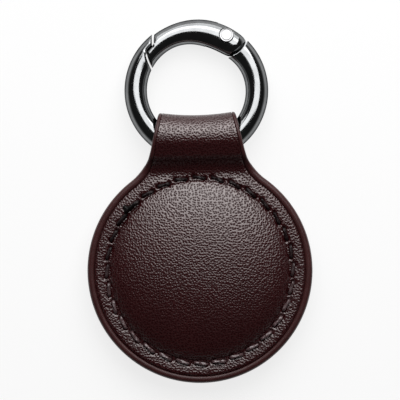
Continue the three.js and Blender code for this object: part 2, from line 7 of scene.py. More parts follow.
import bmesh
import bpy
import numpy as np
from bpy.props import FloatProperty, FloatVectorProperty, IntProperty, PointerProperty
from bpy.types import Operator, Panel, PropertyGroup
from mathutils import Matrix, Vector


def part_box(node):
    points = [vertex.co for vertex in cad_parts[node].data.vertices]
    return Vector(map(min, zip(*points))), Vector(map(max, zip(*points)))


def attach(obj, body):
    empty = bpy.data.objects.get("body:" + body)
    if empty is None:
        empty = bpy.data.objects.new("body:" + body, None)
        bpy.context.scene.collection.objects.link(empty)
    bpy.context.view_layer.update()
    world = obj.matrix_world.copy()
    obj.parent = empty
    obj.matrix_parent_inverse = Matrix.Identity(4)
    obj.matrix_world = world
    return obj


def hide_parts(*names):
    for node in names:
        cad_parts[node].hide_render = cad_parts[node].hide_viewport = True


bl_info = {
    "name": "Leather key fob",
    "version": (1, 0, 0),
    "blender": (4, 5, 0),
    "location": "3D View > Sidebar > Key fob",
    "description": "Builds the leather, thread, ring and stage of a round key fob",
    "category": "Object",
}

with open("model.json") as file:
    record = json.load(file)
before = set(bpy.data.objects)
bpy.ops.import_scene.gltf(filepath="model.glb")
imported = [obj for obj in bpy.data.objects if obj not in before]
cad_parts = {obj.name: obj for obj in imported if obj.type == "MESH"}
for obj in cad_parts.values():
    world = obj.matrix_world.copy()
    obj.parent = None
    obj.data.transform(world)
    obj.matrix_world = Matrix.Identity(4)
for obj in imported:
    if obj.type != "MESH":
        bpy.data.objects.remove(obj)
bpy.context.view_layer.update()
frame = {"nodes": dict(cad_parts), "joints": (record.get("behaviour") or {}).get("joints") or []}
JOINTS = {joint["name"]: joint for joint in frame["joints"]}
MM = 0.001
DEGREE = np.pi / 180

# Places that the frame gives: the leather's middle plane, the hinge pin, the ring's own axes and the disc.
MID_Z = JOINTS["ring_swing"]["pos_m"][2]
PIN = np.array(JOINTS["gate_hinge"]["pos_m"])
RING_UP = np.array(JOINTS["gate_hinge"]["axis"]) / np.linalg.norm(JOINTS["gate_hinge"]["axis"])
RING_ACROSS = np.array([1.0, 0.0, 0.0])
RING_ALONG = np.cross(RING_UP, RING_ACROSS)
DISC_RADIUS = -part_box("edge_bead")[0].y


def length(name, description, millimetres):
    """A length whose default is given in millimetres."""
    return FloatProperty(
        name=name, description=description, default=millimetres * MM, unit="LENGTH", precision=5
    )


def angle(name, description, degrees):
    """An angle whose default is given in degrees."""
    return FloatProperty(name=name, description=description, default=degrees * DEGREE, unit="ROTATION")


def power(name, description, watts):
    """Power of a lamp."""
    return FloatProperty(name=name, description=description, default=watts, unit="POWER")


def colour(name, description, red, green, blue):
    """A linear colour."""
    values = (red, green, blue)
    return FloatVectorProperty(
        name=name, description=description, default=values, subtype="COLOR", min=0.0, max=1.0, size=3
    )


class LeatherSizes(PropertyGroup):
    """Sizes of the folded leather, its bead and its seam."""

    thickness: length("Thickness", "Thickness of the leather", 1.0)
    film: length("Film", "Cement between the two panels", 0.2)
    dome_radius: length("Dome radius", "Foot of the raised middle", 15.9)
    dome_rise: length("Dome rise", "Height of the crown over the rim", 3.0)
    back_flat: length("Back flat", "Radius of the flat that the fob lies on", 12.0)
    neck_fillet: length("Neck fillet", "Concave radius between the disc and the neck", 10.0)
    neck_taper: angle("Neck taper", "Lean of the sides of the neck", 13.0)
    crest_half: length("Crest half width", "Half the width of the fold at its crest", 6.85)
    crest_sag: length("Crest sag", "How far the middle of the crest hangs back", 0.28)
    skive: length("Skive", "How much the leather is pared in the fold, where the ring bears", 0.6)
    eye_radius: length("Eye radius", "Round of the eye under the crest", 3.8)
    eye_low_radius: length("Eye low radius", "Rounds of the eye towards the disc", 2.05)
    eye_low: length("Eye place", "Centres of the rounds towards the disc", 21.65)
    eye_lift: length("Eye lift", "Height of those centres off the middle plane", 1.08)
    eye_length: length("Eye length", "From those centres to the centre of the crest's round", 2.05)
    eye_plain: length("Eye plain", "Half width of the eye before it flares", 5.0)
    eye_flare: FloatProperty(name="Eye flare", description="Rise of the flare per length", default=0.2)
    valley: length("Valley", "Radius where the neck turns up into the fold", 3.4)
    bead_width: length("Bead width", "Width of the edge bead", 1.2)
    crease: length("Crease", "Gap between the bead and the grain", 0.15)
    stitch_radius: length("Stitch radius", "Circle of the seam", 16.5)
    stitches: IntProperty(name="Stitches", description="Stitches in the round seam", default=32, min=8)
    stitch_start: angle("Seam start", "Where the seam is knotted, clockwise from the fold", -50.0)
    stitch_slant: length("Slant", "How far each stitch leans off the circle", 0.16)
    thread: length("Thread", "Thickness of the thread", 0.62)
    groove_depth: length("Groove depth", "Depth of the channel under the seam", 0.22)


class RingSizes(PropertyGroup):
    """Sizes of the ring, its gate and its hinge."""

    bore: length("Bore", "Clear width inside the ring", 17.6)
    wire: length("Wire", "Thickness of the ring", 4.0)
    hinge_swell: length("Hinge swell", "Extra stock inside the hinge", 0.9)
    swell_angle: angle("Swell place", "Middle of the swelling, clockwise from the far end", 25.0)
    swell_spread: angle("Swell spread", "Spread of the swelling", 25.0)
    pin_angle: angle("Pin place", "Place of the rivet, clockwise from the far end", 30.0)
    pin_depth: length("Pin depth", "Rivet's centre below the outer edge", 1.7)
    pin_diameter: length("Pin", "Shank of the rivet", 1.5)
    rivet_head: length("Rivet head", "Head of the rivet", 2.6)
    rivet_seat: length("Rivet seat", "Height of the seat under the head", 1.25)
    rivet_top: length("Rivet top", "Height of the head", 1.95)
    knuckle: length("Knuckle", "Round end of the gate about the rivet", 3.6)
    knuckle_gap: length("Knuckle gap", "Gap between the knuckle and its seat", 0.3)
    tongue: length("Tongue", "Thickness of the tongue between the fork's cheeks", 1.0)
    fork_room: length("Fork room", "Room between the tongue and each cheek", 0.2)
    slot_floor: length("Slot floor", "Depth of the fork past the rivet", 2.467)
    gate_set: length("Gate set", "How far the gate's free end lies inside the ring's edge", 0.25)
    lap_radius: length("Lap radius", "Radius of the step where the gate meets the ring", 11.15)
    lap_gap: length("Lap gap", "Gap along the step", 0.16)
    bore_tilt: angle("Spring tilt", "Lean of the spring's bore off the gate", 12.0)
    bore_offset: length("Spring offset", "Spring's bore below the rivet", 0.8)
    bore_depth: length("Spring bore depth", "Depth of the spring's bore from the rivet", 6.4)
    bore_radius: length("Spring bore radius", "Radius of the spring's bore", 0.8)


class Finishes(PropertyGroup):
    """Colours of the finishes."""

    leather: colour("Leather", "Grain side of the leather", 0.029, 0.0029, 0.0037)
    leather_pores: colour("Pores", "Pits of the leather's grain", 0.016, 0.0017, 0.0022)
    edge: colour("Edge finish", "Smooth bead along the edges", 0.036, 0.0105, 0.0105)
    thread: colour("Thread", "Waxed thread", 0.009, 0.0045, 0.005)
    # The second thread colour is a painted highlight: the thread turns paler towards the far end of the disc,
    # where the stitches catch the light.
    wear_and_sheen: colour("Rubbed thread", "Thread where it is worn", 0.075, 0.042, 0.044)
    wax: colour("Wax", "Melted end of the thread", 0.004, 0.003, 0.003)
    gunmetal: colour("Gunmetal", "Dark plating of the ring", 0.226, 0.231, 0.235)
    rivet: colour("Rivet", "Plating of the rivet", 0.34, 0.34, 0.345)
    floor: colour("Floor", "Pale floor", 0.88, 0.88, 0.88)


class StageSizes(PropertyGroup):
    """Camera, light and floor."""

    view_width: length("View width", "Width of the floor that the picture shows", 71.1)
    view_ahead: length("View place", "Middle of the picture, ahead of the disc's centre", 12.52)
    view_roll: angle("View roll", "Lean of the object in the picture", 1.16)
    camera_height: length("Camera height", "Height of the camera over the floor", 600.0)
    light_distance: length("Light distance", "Distance of the softbox", 360.0)
    light_lean: angle("Light lean", "Lean of the softbox from straight above towards the ring", 35.5)
    light_swing: angle("Light swing", "Swing of the softbox off the ring, clockwise from above", 11.0)
    light_width: length("Light width", "Width of the softbox", 365.0)
    light_length: length("Light length", "Length of the softbox", 300.0)
    panel_lean: angle("Panel lean", "Lean of the far panel from straight above", 62.0)
    panel_width: length("Panel width", "Width of the far panel", 500.0)
    panel_length: length("Panel length", "Height of the far panel", 300.0)
    light_power: power("Light power", "Power of the softbox", 1.3)
    panel_power: power("Panel power", "Power of the far panel", 1.2)


class Shell:
    """Points and faces gathered from grids before they become one mesh."""

    MERGE = 0.0005 * MM

    def __init__(self):
        self.points = np.zeros((0, 3))
        self.faces = []

    def add(self, points):
        """Adds an array of points and returns their numbers in the same arrangement."""
        start = len(self.points)
        self.points = np.vstack([self.points, points.reshape(-1, 3)])
        return np.arange(start, len(self.points)).reshape(points.shape[:-1])

    def quads(self, ids, wrap_rows=False, wrap_columns=False):
        """Faces between neighbouring rows and columns, with the last joined to the first where it wraps."""
        if wrap_rows:
            ids = np.vstack([ids, ids[:1]])
        if wrap_columns:
            ids = np.hstack([ids, ids[:, :1]])
        corners = (ids[:-1, :-1], ids[1:, :-1], ids[1:, 1:], ids[:-1, 1:])
        self.faces += np.stack(corners, axis=-1).reshape(-1, 4).tolist()

    def fan(self, centre, ring):
        """Triangles from one point to a closed ring."""
        corners = (np.broadcast_to(centre, ring.shape), ring, np.roll(ring, -1))
        self.faces += np.stack(corners, axis=-1).tolist()

    def face(self, ring):
        """One flat face."""
        self.faces.append(ring.tolist())

    def mesh(self, name, sharp=40 * DEGREE):
        """The gathered faces as one mesh, joined where they meet and facing outwards."""
        mesh = bpy.data.meshes.new(name)
        mesh.from_pydata(self.points, [], self.faces)
        work = bmesh.new()
        work.from_mesh(mesh)
        bmesh.ops.remove_doubles(work, verts=work.verts, dist=self.MERGE)
        bmesh.ops.dissolve_degenerate(work, edges=work.edges, dist=self.MERGE)
        bmesh.ops.recalc_face_normals(work, faces=work.faces)
        work.to_mesh(mesh)
        work.free()
        mesh.shade_smooth()
        mesh.set_sharp_from_angle(angle=sharp)
        return mesh


def capped(rows):
    """Tube through rows of points, with a flat face at each end."""
    shell = Shell()
    ids = shell.add(rows)
    shell.quads(ids, wrap_columns=True)
    shell.face(ids[0][::-1])
    shell.face(ids[-1])
    return shell


def places(mesh):
    """Places of a mesh's points, one row each."""
    spots = np.empty(len(mesh.vertices) * 3)
    mesh.vertices.foreach_get("co", spots)
    return spots.reshape(-1, 3)


def place(name, mesh, material, body, slot, *nodes):
    """Puts a finished mesh in the scene on its body, in place of its CAD nodes."""
    piece = bpy.data.objects.new(name, mesh)
    bpy.context.scene.collection.objects.link(piece)
    mesh.materials.clear()
    mesh.materials.append(material)
    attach(piece, body)
    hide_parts(*nodes)
    return piece


def ease(value):
    """Smooth step from 0 to 1."""
    value = np.clip(value, 0, 1)
    return value * value * (3 - 2 * value)


def full_turn(count):
    """Angles once round, evenly spread."""
    return np.linspace(0, 2 * np.pi, count, endpoint=False)


class Fold:
    """Side view of the folded leather, followed from the front neck over the crest to the back.

    The lean of the outward normal is a piecewise linear function of the distance along the profile: zero on
    the neck, back through the valley, part of the way forward round the foot of the fold, steady up its
    slope, forward again round the crest, and the mirror image behind. The profile itself is the running sum
    of the direction square to that normal.
    """

    SAMPLES = 4001
    STRIDE = 10

    def __init__(self, sizes):
        half = sizes.thickness + sizes.film / 2
        wall = sizes.thickness - sizes.skive
        crest, low = sizes.eye_radius + wall, sizes.eye_low_radius + wall
        rise = half + sizes.valley - sizes.eye_lift
        run = np.sqrt((low + sizes.valley) ** 2 - rise**2)
        turn = np.arctan2(run, rise)
        span = np.hypot(sizes.eye_length, sizes.eye_lift)
        lean_in = np.arcsin((crest - low) / span)
        slope = lean_in - np.arctan2(sizes.eye_lift, sizes.eye_length)
        straight = span * np.cos(lean_in)
        steps = [sizes.valley * turn, low * (turn - slope), straight, crest * (np.pi / 2 + slope)]
        knots = np.concatenate([[0], np.cumsum(steps + steps[::-1])])
        leans = [0, -turn, -slope, -slope, np.pi / 2, np.pi + slope, np.pi + slope, np.pi + turn, np.pi]
        reach = DISC_RADIUS
        self.total = knots[-1]
        self.bend = knots[1]
        self.along = np.linspace(-reach, self.total + reach, self.SAMPLES)
        lean = np.interp(self.along, knots, leans)
        step = self.along[1] - self.along[0]
        middle = (lean[1:] + lean[:-1]) / 2
        self.foot = sizes.eye_low - run
        self.y = self.foot - reach + np.concatenate([[0], np.cumsum(np.cos(middle) * step)])
        self.z = half - np.concatenate([[0], np.cumsum(np.sin(middle) * step)])
        self.normal_y = np.sin(lean)
        self.normal_z = np.cos(lean)
        self.front = self.along <= self.total / 2
        self.top = self.distance(sizes.eye_low + sizes.eye_length / 2)
        self.crest_y = self.y.max()

    def at(self, along):
        """Place and outward normal at a distance along the profile: y, z from the middle, normal y and z."""
        rows = (self.y, self.z, self.normal_y, self.normal_z)
        return [np.interp(along, self.along, row) for row in rows]

    def past_foot(self, along):
        """Distance from the nearer foot of the fold."""
        return np.minimum(along, self.total - along)

    def distance(self, y):
        """Distance along the front of the profile at which it reaches y."""
        return np.interp(y, self.y[self.front], self.along[self.front])

    def height(self, y, depth=0.0):
        """Height over the middle plane of the front of the profile, or of a line that deep inside it."""
        inner_y = self.y - self.normal_y * depth
        inner_z = self.z - self.normal_z * depth
        return np.interp(y, inner_y[self.front], inner_z[self.front])


class Outline:
    """Plan of the fob: a disc, a concave fillet on each side, and a neck that tapers to the crest."""

    def __init__(self, sizes, crest_y):
        self.sizes = sizes
        lean = sizes.neck_taper
        self.across = sizes.crest_half * np.cos(lean) + crest_y * np.sin(lean)
        reach = self.across + sizes.neck_fillet
        along = np.sqrt((DISC_RADIUS + sizes.neck_fillet) ** 2 - reach**2)
        self.fillet_x = reach * np.cos(lean) - along * np.sin(lean)
        self.fillet_y = reach * np.sin(lean) + along * np.cos(lean)
        self.meet = np.arctan2(self.fillet_x, self.fillet_y)

    def half_width(self, y, inset):
        """Half width of the neck at y, drawn in by inset: the fillet's circle, then the straight taper."""
        lean = self.sizes.neck_taper
        fillet = self.sizes.neck_fillet + inset
        curve = self.fillet_x - np.sqrt(np.maximum(fillet**2 - (y - self.fillet_y) ** 2, 0))
        straight = (self.across - inset - y * np.sin(lean)) / np.cos(lean)
        return np.where(y > self.fillet_y - fillet * np.sin(lean), straight, curve)


class FobForm:
    """The shared shape of the leather: fold, outline, seam and swelling."""

    DOME_POWER = 1.5
    ARRIS_WIDTH = 0.45 * MM
    ARRIS_DROP = 0.16 * MM
    HOLE_SHARE = 0.19
    HOLE_WIDTH = 0.36 * MM
    HOLE_DEPTH = 0.55 * MM
    GROOVE_HALF = 0.46 * MM
    GROOVE_SOFT = 0.1
    PUCKER = 0.15 * MM
    PUCKER_EVEN = 0.6
    PUCKER_REACH = 1.3 * MM
    SLIM = 0.46
    SKIVE_START = 1.05 * MM
    SKIVE_RUN = 0.6 * MM
    SKIVE_HALF = 4.5 * MM
    SKIVE_FADE = 3.3 * MM
    NECK_SWELL = 0.27 * MM
    SWELL_IN = 0.3 * MM
    SWELL_RAMP = 0.8 * MM
    SWELL_FOOT = 0.4 * MM
    SWELL_FALL = 2.2 * MM
    SWELL_END = 100 * DEGREE
    SWELL_FADE = 65 * DEGREE
    SWELL_EDGE = 2.0 * MM

    def __init__(self, sizes):
        self.sizes = sizes
        self.fold = Fold(sizes)
        self.outline = Outline(sizes, self.fold.crest_y)
        self.rim = sizes.thickness + sizes.film / 2
        self.inset = sizes.bead_width + sizes.crease
        self.radius = DISC_RADIUS - self.inset

    def swell(self, turn, flat, foot, rise):
        """Radius and height of the swollen middle: the radius goes with the sine of the turn, the height with
        a power of its cosine."""
        radius = flat + (foot - flat) * np.sin(turn)
        return radius, rise * np.maximum(np.cos(turn), 0) ** self.DOME_POWER

    def phase(self, turn):
        """Stitches passed since the start of the seam, at an angle clockwise from the fold."""
        return (turn - self.sizes.stitch_start) * self.sizes.stitches / (2 * np.pi)

    def slant(self, part):
        """How far a stitch lies outside the seam's circle, by the share of the stitch that has passed."""
        hole = self.HOLE_SHARE
        return self.sizes.stitch_slant * np.interp(part, [0, hole, 1 - hole, 1], [0, 1, -1, 0])

    def shown(self, part, soft):
        """1 along the part of a stitch that lies on the face and 0 where it passes underneath."""
        hole = self.HOLE_SHARE
        return ease((part - hole + soft) / (2 * soft)) * ease((1 - hole + soft - part) / (2 * soft))

    def seam_sink(self, radius, turn):
        """How deep the seam draws the leather in: a channel under each stitch, a pit at each hole and a soft
        pucker round it. The leather stands up between one stitch and the next."""
        sizes = self.sizes
        phase = self.phase(turn)
        part = phase - np.floor(phase)
        pitch = 2 * np.pi * sizes.stitch_radius / sizes.stitches
        around = radius - sizes.stitch_radius
        off = np.clip((around - self.slant(part)) / self.GROOVE_HALF, -1, 1)
        channel = (0.5 + 0.5 * np.cos(np.pi * off)) * self.shown(part, self.GROOVE_SOFT)
        pit = np.zeros(radius.shape)
        for hole, side in ((-self.HOLE_SHARE, -1), (self.HOLE_SHARE, 1)):
            for along in (hole, hole + 1):
                away = (around - side * sizes.stitch_slant) ** 2 + ((part - along) * pitch) ** 2
                pit = pit + np.exp(-away / self.HOLE_WIDTH**2)
        pull = 0.5 - 0.5 * np.cos(2 * np.pi * phase)
        pull = self.PUCKER_EVEN + (1 - self.PUCKER_EVEN) * pull
        away_from_neck = 0.5 - 0.5 * np.cos(turn)
        pucker = pull * away_from_neck * np.exp(-((around / self.PUCKER_REACH) ** 2))
        return sizes.groove_depth * channel + self.HOLE_DEPTH * np.minimum(pit, 1) + self.PUCKER * pucker

    def neck_swell(self, x, y):
        """Rise of the neck at the seam, which slopes down to the foot of the fold and to the cut edge, and
        fades out round the disc."""
        radius, turn = np.hypot(x, y), np.abs(np.arctan2(x, y))
        beyond = ease((radius - self.sizes.dome_radius + self.SWELL_IN) / self.SWELL_RAMP)
        before = ease((self.fold.foot + self.SWELL_FOOT - y) / self.SWELL_FALL)
        beside = ease((self.SWELL_END - turn) / self.SWELL_FADE)
        neck = (self.outline.half_width(y, self.inset) - np.abs(x)) * np.sin(self.outline.meet)
        edge = np.where(turn < self.outline.meet, neck, self.radius - radius)
        return self.NECK_SWELL * beyond * before * beside * ease(edge / self.SWELL_EDGE)

    def over(self, along):
        """0 on the neck, rising to 1 over the fold."""
        return ease(self.fold.past_foot(along) / self.fold.top)

    def slim(self, along):
        """Width of the bead as a share of its width round the disc: it narrows over the fold."""
        return 1 - self.SLIM * self.over(along)

    def arris(self, distance):
        """Drop of the grain face where it rounds off to its cut edge."""
        return self.ARRIS_DROP * np.clip(1 - distance / self.ARRIS_WIDTH, 0, 1) ** 2

    def on_fold(self, x, along, depth=0.0):
        """Point of the neck or fold: x across, the profile's place at that distance, sunk along its normal.
        The crest sags in the middle and the corners stand ahead of it."""
        y, z, normal_y, normal_z = self.fold.at(along)
        near = (self.fold.past_foot(along) - self.fold.bend) / (self.fold.total / 2 - self.fold.bend)
        bow = 2 * (x / self.sizes.crest_half) ** 2 - 1
        y = y + self.sizes.crest_sag * np.clip(bow, -1, 1) * ease(near)
        return np.stack([x, y - normal_y * depth, MID_Z + z - normal_z * depth], axis=-1)

    def flare(self, x, along):
        """How much thinner the leather is in the fold: at its middle, and towards the mouths of its eye."""
        middle = self.sizes.skive * ease((self.SKIVE_HALF - np.abs(x)) / self.SKIVE_FADE)
        mouth = self.sizes.eye_flare * np.maximum(np.abs(x) - self.sizes.eye_plain, 0)
        return (middle + mouth) * ease((self.fold.past_foot(along) - self.SKIVE_START) / self.SKIVE_RUN)


class LeatherSkin:
    """The folded leather as one closed sheet: outer face, inner face and the cut edge between them."""

    TURNS = 512
    DOME_ROWS = 22
    POCKET_ROWS = 9
    FLAT_ROWS = 5
    NECK_ROWS = 130
    RIM_STOPS = np.array(
        [0.04, 0.09, 0.14, 0.19, 0.24, 0.29, 0.34, 0.4, 0.48, 0.6, 0.74, 0.84, 0.9, 0.95, 1.0]
    )
    POCKET_STOPS = np.array([0.3, 0.65, 1.0])
    NECK_SPREAD = 5

    def __init__(self, form):
        self.form = form
        self.shell = Shell()
        self.turn = np.arange(self.TURNS) * 2 * np.pi / self.TURNS
        self.signed = np.where(self.turn > np.pi, self.turn - 2 * np.pi, self.turn)
        last = int(form.outline.meet / (2 * np.pi / self.TURNS))
        self.neck_columns = np.arange(-last, last + 1)
        self.rim_columns = np.arange(last, self.TURNS - last + 1)

    def rows(self, flat, foot, rise, count, stops):
        """Radii and heights of a panel's rings: a flat, the swelling, and the rim out to the cut edge."""
        level = np.linspace(0, flat, self.FLAT_ROWS + 1)[1:] if flat else np.zeros(0)
        turn = np.linspace(0, np.pi / 2, count + 1)[0 if flat else 1 :]
        radius, height = self.form.swell(turn[1:] if flat else turn, flat, foot, rise)
        out = foot + (self.form.radius - foot) * stops
        radii = np.concatenate([level, radius, out])
        heights = np.concatenate([np.full(level.shape, rise), height, np.zeros(out.shape)])
        return radii, heights

    def panel(self, side, rows, base, depth):
        """A round panel of rings about its centre, where side is 1 in front and -1 behind. The height is the
        swelling over the rim, or the fold's own rise near the neck, less the seam and the rounded arris."""
        form = self.form
        radii, heights = rows
        radius, turn = np.meshgrid(radii, self.signed, indexing="ij")
        x, y = radius * np.sin(turn), radius * np.cos(turn)
        height = np.maximum(base + heights[:, None], form.fold.height(y, depth))
        if not depth:
            neck = np.abs(turn) < form.outline.meet
            edge = np.where(neck, form.outline.half_width(y, form.inset) - np.abs(x), form.radius - radius)
            height = height - form.seam_sink(radius, turn) - form.arris(np.maximum(edge, 0))
            height = height + form.neck_swell(x, y)
        ids = self.shell.add(np.stack([x, y, MID_Z + side * height], axis=-1))
        centre = self.shell.add(np.array([[0, 0, MID_Z + side * (base + heights[0])]]))
        self.shell.quads(ids, wrap_columns=True)
        self.shell.fan(centre, ids[0])
        return ids[-1]

    def neck(self, front, back, depth):
        """Strip from the rim of the front panel over the fold to the rim of the back panel. Each column
        starts on the disc's circle, and its share of the half width eases to an even spread over the fold."""
        form = self.form
        turn = self.neck_columns * 2 * np.pi / self.TURNS
        foot_x, foot_y = form.radius * np.sin(turn), form.radius * np.cos(turn)
        first = form.fold.distance(foot_y)
        share = np.clip(foot_x / form.outline.half_width(foot_y, form.inset), -1, 1)
        even = self.neck_columns / self.neck_columns[-1]
        row = np.linspace(0, 1, self.NECK_ROWS + 1)[1:-1, None]
        along = first + (form.fold.total - 2 * first) * row
        blend = ease(np.minimum(row, 1 - row) * self.NECK_SPREAD)
        part = share + (even - share) * blend
        y, _, normal_y, _ = form.fold.at(along)
        width = form.outline.half_width(y - normal_y * depth, form.inset * form.slim(along))
        x = part * width
        if depth:
            sunk = depth - form.flare(x, along)
        else:
            sunk = form.arris(width - np.abs(x)) * (1 - form.over(along)) - form.neck_swell(x, y)
        inner = self.shell.add(form.on_fold(x, along, sunk))
        ids = np.vstack([front[self.neck_columns], inner, back[self.neck_columns]])
        self.shell.quads(ids)
        return ids

    def face(self, front_rows, back_rows, base, depth):
        """One face of the whole sheet, and the closed chain of points along its cut edge."""
        front = self.panel(1, front_rows, base, depth)
        back = self.panel(-1, back_rows, base, depth)
        neck = self.neck(front, back, depth)
        columns = self.rim_columns % self.TURNS
        chain = [front[columns], neck[1:-1, 0], back[columns][::-1], neck[1:-1, -1][::-1]]
        return np.concatenate(chain)

    def build(self):
        """Outer face, inner face and the strip between their edges."""
        form = self.form
        sizes = form.sizes
        thick = sizes.thickness
        back_rise = MID_Z - form.rim
        outer = self.face(
            self.rows(0, sizes.dome_radius, sizes.dome_rise, self.DOME_ROWS, self.RIM_STOPS),
            self.rows(sizes.back_flat, sizes.dome_radius, back_rise, self.DOME_ROWS, self.RIM_STOPS),
            form.rim,
            0.0,
        )
        pocket = sizes.dome_radius - thick
        inner = self.face(
            self.rows(0, pocket, sizes.dome_rise, self.POCKET_ROWS, self.POCKET_STOPS),
            self.rows(sizes.back_flat - thick / 2, pocket, back_rise, self.POCKET_ROWS, self.POCKET_STOPS),
            form.rim - thick,
            thick,
        )
        self.shell.quads(np.stack([outer, inner]), wrap_columns=True)
        return self.shell


def frames_along(path, normal, closed):
    """The two directions square to a path, the first one nearest to normal."""
    if closed:
        ahead = np.roll(path, -1, axis=0) - np.roll(path, 1, axis=0)
    else:
        ahead = np.gradient(path, axis=0)
    tangent = ahead / np.linalg.norm(ahead, axis=1, keepdims=True)
    up = normal - tangent * np.sum(normal * tangent, axis=1, keepdims=True)
    up = up / np.linalg.norm(up, axis=1, keepdims=True)
    return up, np.cross(tangent, up)


# The bead: points round the disc and over the fold, steps of its two rounds, and the form of its section.
BEAD_TURNS = 190
BEAD_ROWS = 150
BEAD_OUT_STEPS = 9
BEAD_IN_STEPS = 5
BEAD_CROWN = 0.4
BEAD_POWER = 0.85
BEAD_LIFT = 0.01 * MM
BEAD_SINK = 0.12 * MM
BEAD_DIP = 0.26 * MM
BEAD_SEAT = 0.12 * MM
BEAD_CORNER = 0.4 * MM
BEAD_PARTING = 0.001 * MM


def there_and_back(row):
    """Values along one half of the bead, and then in return order along the other."""
    return np.concatenate([row[:-1], row[::-1][:-1]])


def edge_bead(form):
    """The edge finish carried along the cut edge of the sheet: along the front, over the fold and behind.

    The profile is a quarter oval on the outside and a smaller one down into the crease. Both halves of the
    sheet meet in the middle plane round the disc, and on the fold the inner corner is rounded as well.
    """
    sizes = form.sizes
    outline, fold = form.outline, form.fold
    radius = DISC_RADIUS - sizes.bead_width
    turn = np.linspace(np.pi, outline.meet, BEAD_TURNS)
    first = fold.distance(radius * np.cos(outline.meet))
    along = np.linspace(first, fold.total - first, BEAD_ROWS)
    y, _, normal_y, normal_z = fold.at(along)
    slim = form.slim(along)
    x = outline.half_width(y, sizes.bead_width * slim)
    top = np.full(turn.shape, MID_Z + form.rim)
    arc = np.stack([radius * np.sin(turn), radius * np.cos(turn), top], axis=-1)
    side = form.on_fold(x, along)
    up = np.array([0.0, 0.0, 1.0])
    side_up = np.stack([np.zeros(along.shape), normal_y, normal_z], axis=-1)
    below = arc[::-1] * [1, 1, 0] + [0, 0, MID_Z - form.rim]
    half = np.concatenate([arc[:-1], side, below[1:]])
    half_up = np.concatenate([np.tile(up, (len(arc) - 1, 1)), side_up, np.tile(-up, (len(below) - 1, 1))])
    path, normal = there_and_back(half), there_and_back(half_up)
    path[len(half) - 1 :, 0] *= -1
    rest = np.zeros(len(arc) - 1)
    mouth = form.flare(np.full(y.shape, sizes.crest_half), along)
    thin = there_and_back(np.concatenate([rest, mouth, rest]))
    narrow = there_and_back(np.concatenate([rest + 1, slim, rest + 1]))
    over = there_and_back(np.concatenate([rest, form.over(along), rest]))
    on_side = there_and_back(np.concatenate([rest, np.ones(len(side)), rest]))
    loose = np.clip(thin / thin.max(), 0, 1)

    crown = BEAD_CROWN * sizes.bead_width
    lift = (BEAD_LIFT - BEAD_SINK * (1 - over))[:, None]
    dip = BEAD_DIP * narrow[:, None]
    deep = form.rim - BEAD_PARTING - thin
    sweep = np.linspace(0, np.pi / 2, BEAD_OUT_STEPS)
    inner_sweep = np.linspace(np.pi / 2, np.pi, BEAD_IN_STEPS)
    out_e = crown + (sizes.bead_width - crown) * np.cos(sweep) ** BEAD_POWER
    out_n = lift + (deep[:, None] + lift) * (np.sin(sweep) ** BEAD_POWER - 1)
    in_e = crown + crown * np.cos(inner_sweep[1:])
    in_n = lift + dip * (np.sin(inner_sweep[1:]) - 1)
    seat = [-sizes.crease, -sizes.crease]
    wide = np.concatenate([out_e, in_e, seat]) * narrow[:, None]
    high = np.hstack([out_n, in_n, in_n[:, -1:] - BEAD_SEAT, -deep[:, None]])
    share = np.clip(-high / deep[:, None], 0, 1)
    rounded = BEAD_CORNER * loose[:, None] * np.clip(2 * share - 1, 0, 1) ** 2
    wide = np.where(wide > crown, np.maximum(wide - rounded, crown / 2), wide)
    lean, out = frames_along(path, normal, closed=True)
    points = path[:, None] + out[:, None] * wide[..., None] + lean[:, None] * high[..., None]
    inset = (sizes.bead_width * narrow)[:, None]
    level = path[:, 1, None]
    taper = outline.half_width(level + lean[:, 1, None] * high, inset) - outline.half_width(level, inset)
    points[..., 0] += np.sign(path[:, 0, None]) * taper * on_side[:, None]
    shell = Shell()
    shell.quads(shell.add(points), wrap_rows=True, wrap_columns=True)
    return shell


# The thread: lobes, sides, twist and relief of its section, and its course through the leather.
PLY_LOBES = 3
PLY_SIDES = 12
PLY_TWIST = 1.7 * MM
PLY_RELIEF = 0.13
PLY_SPARE = 1.06
STITCH_STEPS = 26
STITCH_SOFT = 0.06
STITCH_ARCH = 0.07 * MM
STITCH_SINK = 0.16 * MM
STITCH_LEAN = 0.11 * MM

# The back tack and the knot, in stitches from the start of the seam, and where the thread gets its painted
# highlight.
TACK_START = -0.9
TACK_STOP = 1.12
TACK_STEPS = 60
TACK_TIP = 0.25
TACK_TAPER = 6
TACK_LIFT = 0.3 * MM
TACK_OUT = 0.12 * MM
KNOT_PLACE = 0.12
KNOT_OUT = 0.4 * MM
KNOT_LIFT = 0.05 * MM
KNOT_RADIUS = 0.92 * MM
KNOT_SHAPE = np.array([1.0, 0.8, 0.6])
KNOT_ROWS = 13
KNOT_TURNS = 24
KNOT_LUMPS = 3
KNOT_LUMP = 0.2
KNOT_WAIST = 0.1
WAX_REACH = 2.6
PAINTED_SHEEN_START = 6 * MM
PAINTED_SHEEN_REACH = 16 * MM


def ply_tube(shell, path, normal, radius, closed):
    """Twisted thread carried along a path: a round section with lobes that turn with the distance."""
    up, across = frames_along(path, normal, closed)
    step = np.linalg.norm(np.diff(path, axis=0), axis=1)
    turn = np.concatenate([[0], np.cumsum(step)]) / PLY_TWIST
    if closed:
        turn = turn * np.round(turn[-1]) / turn[-1] * (len(path) - 1) / len(path)
    spin = full_turn(PLY_SIDES)
    lobe = 1 + PLY_RELIEF * np.cos(PLY_LOBES * (spin[None] - 2 * np.pi * turn[:, None] / PLY_LOBES))
    wide = (np.asarray(radius) * np.ones(len(path)))[:, None] * lobe / PLY_SPARE
    points = (
        path[:, None]
        + up[:, None] * (wide * np.sin(spin))[..., None]
        + across[:, None] * (wide * np.cos(spin))[..., None]
    )
    ids = shell.add(points)
    shell.quads(ids, wrap_rows=closed, wrap_columns=True)
    if not closed:
        shell.face(ids[0])
        shell.face(ids[-1][::-1])


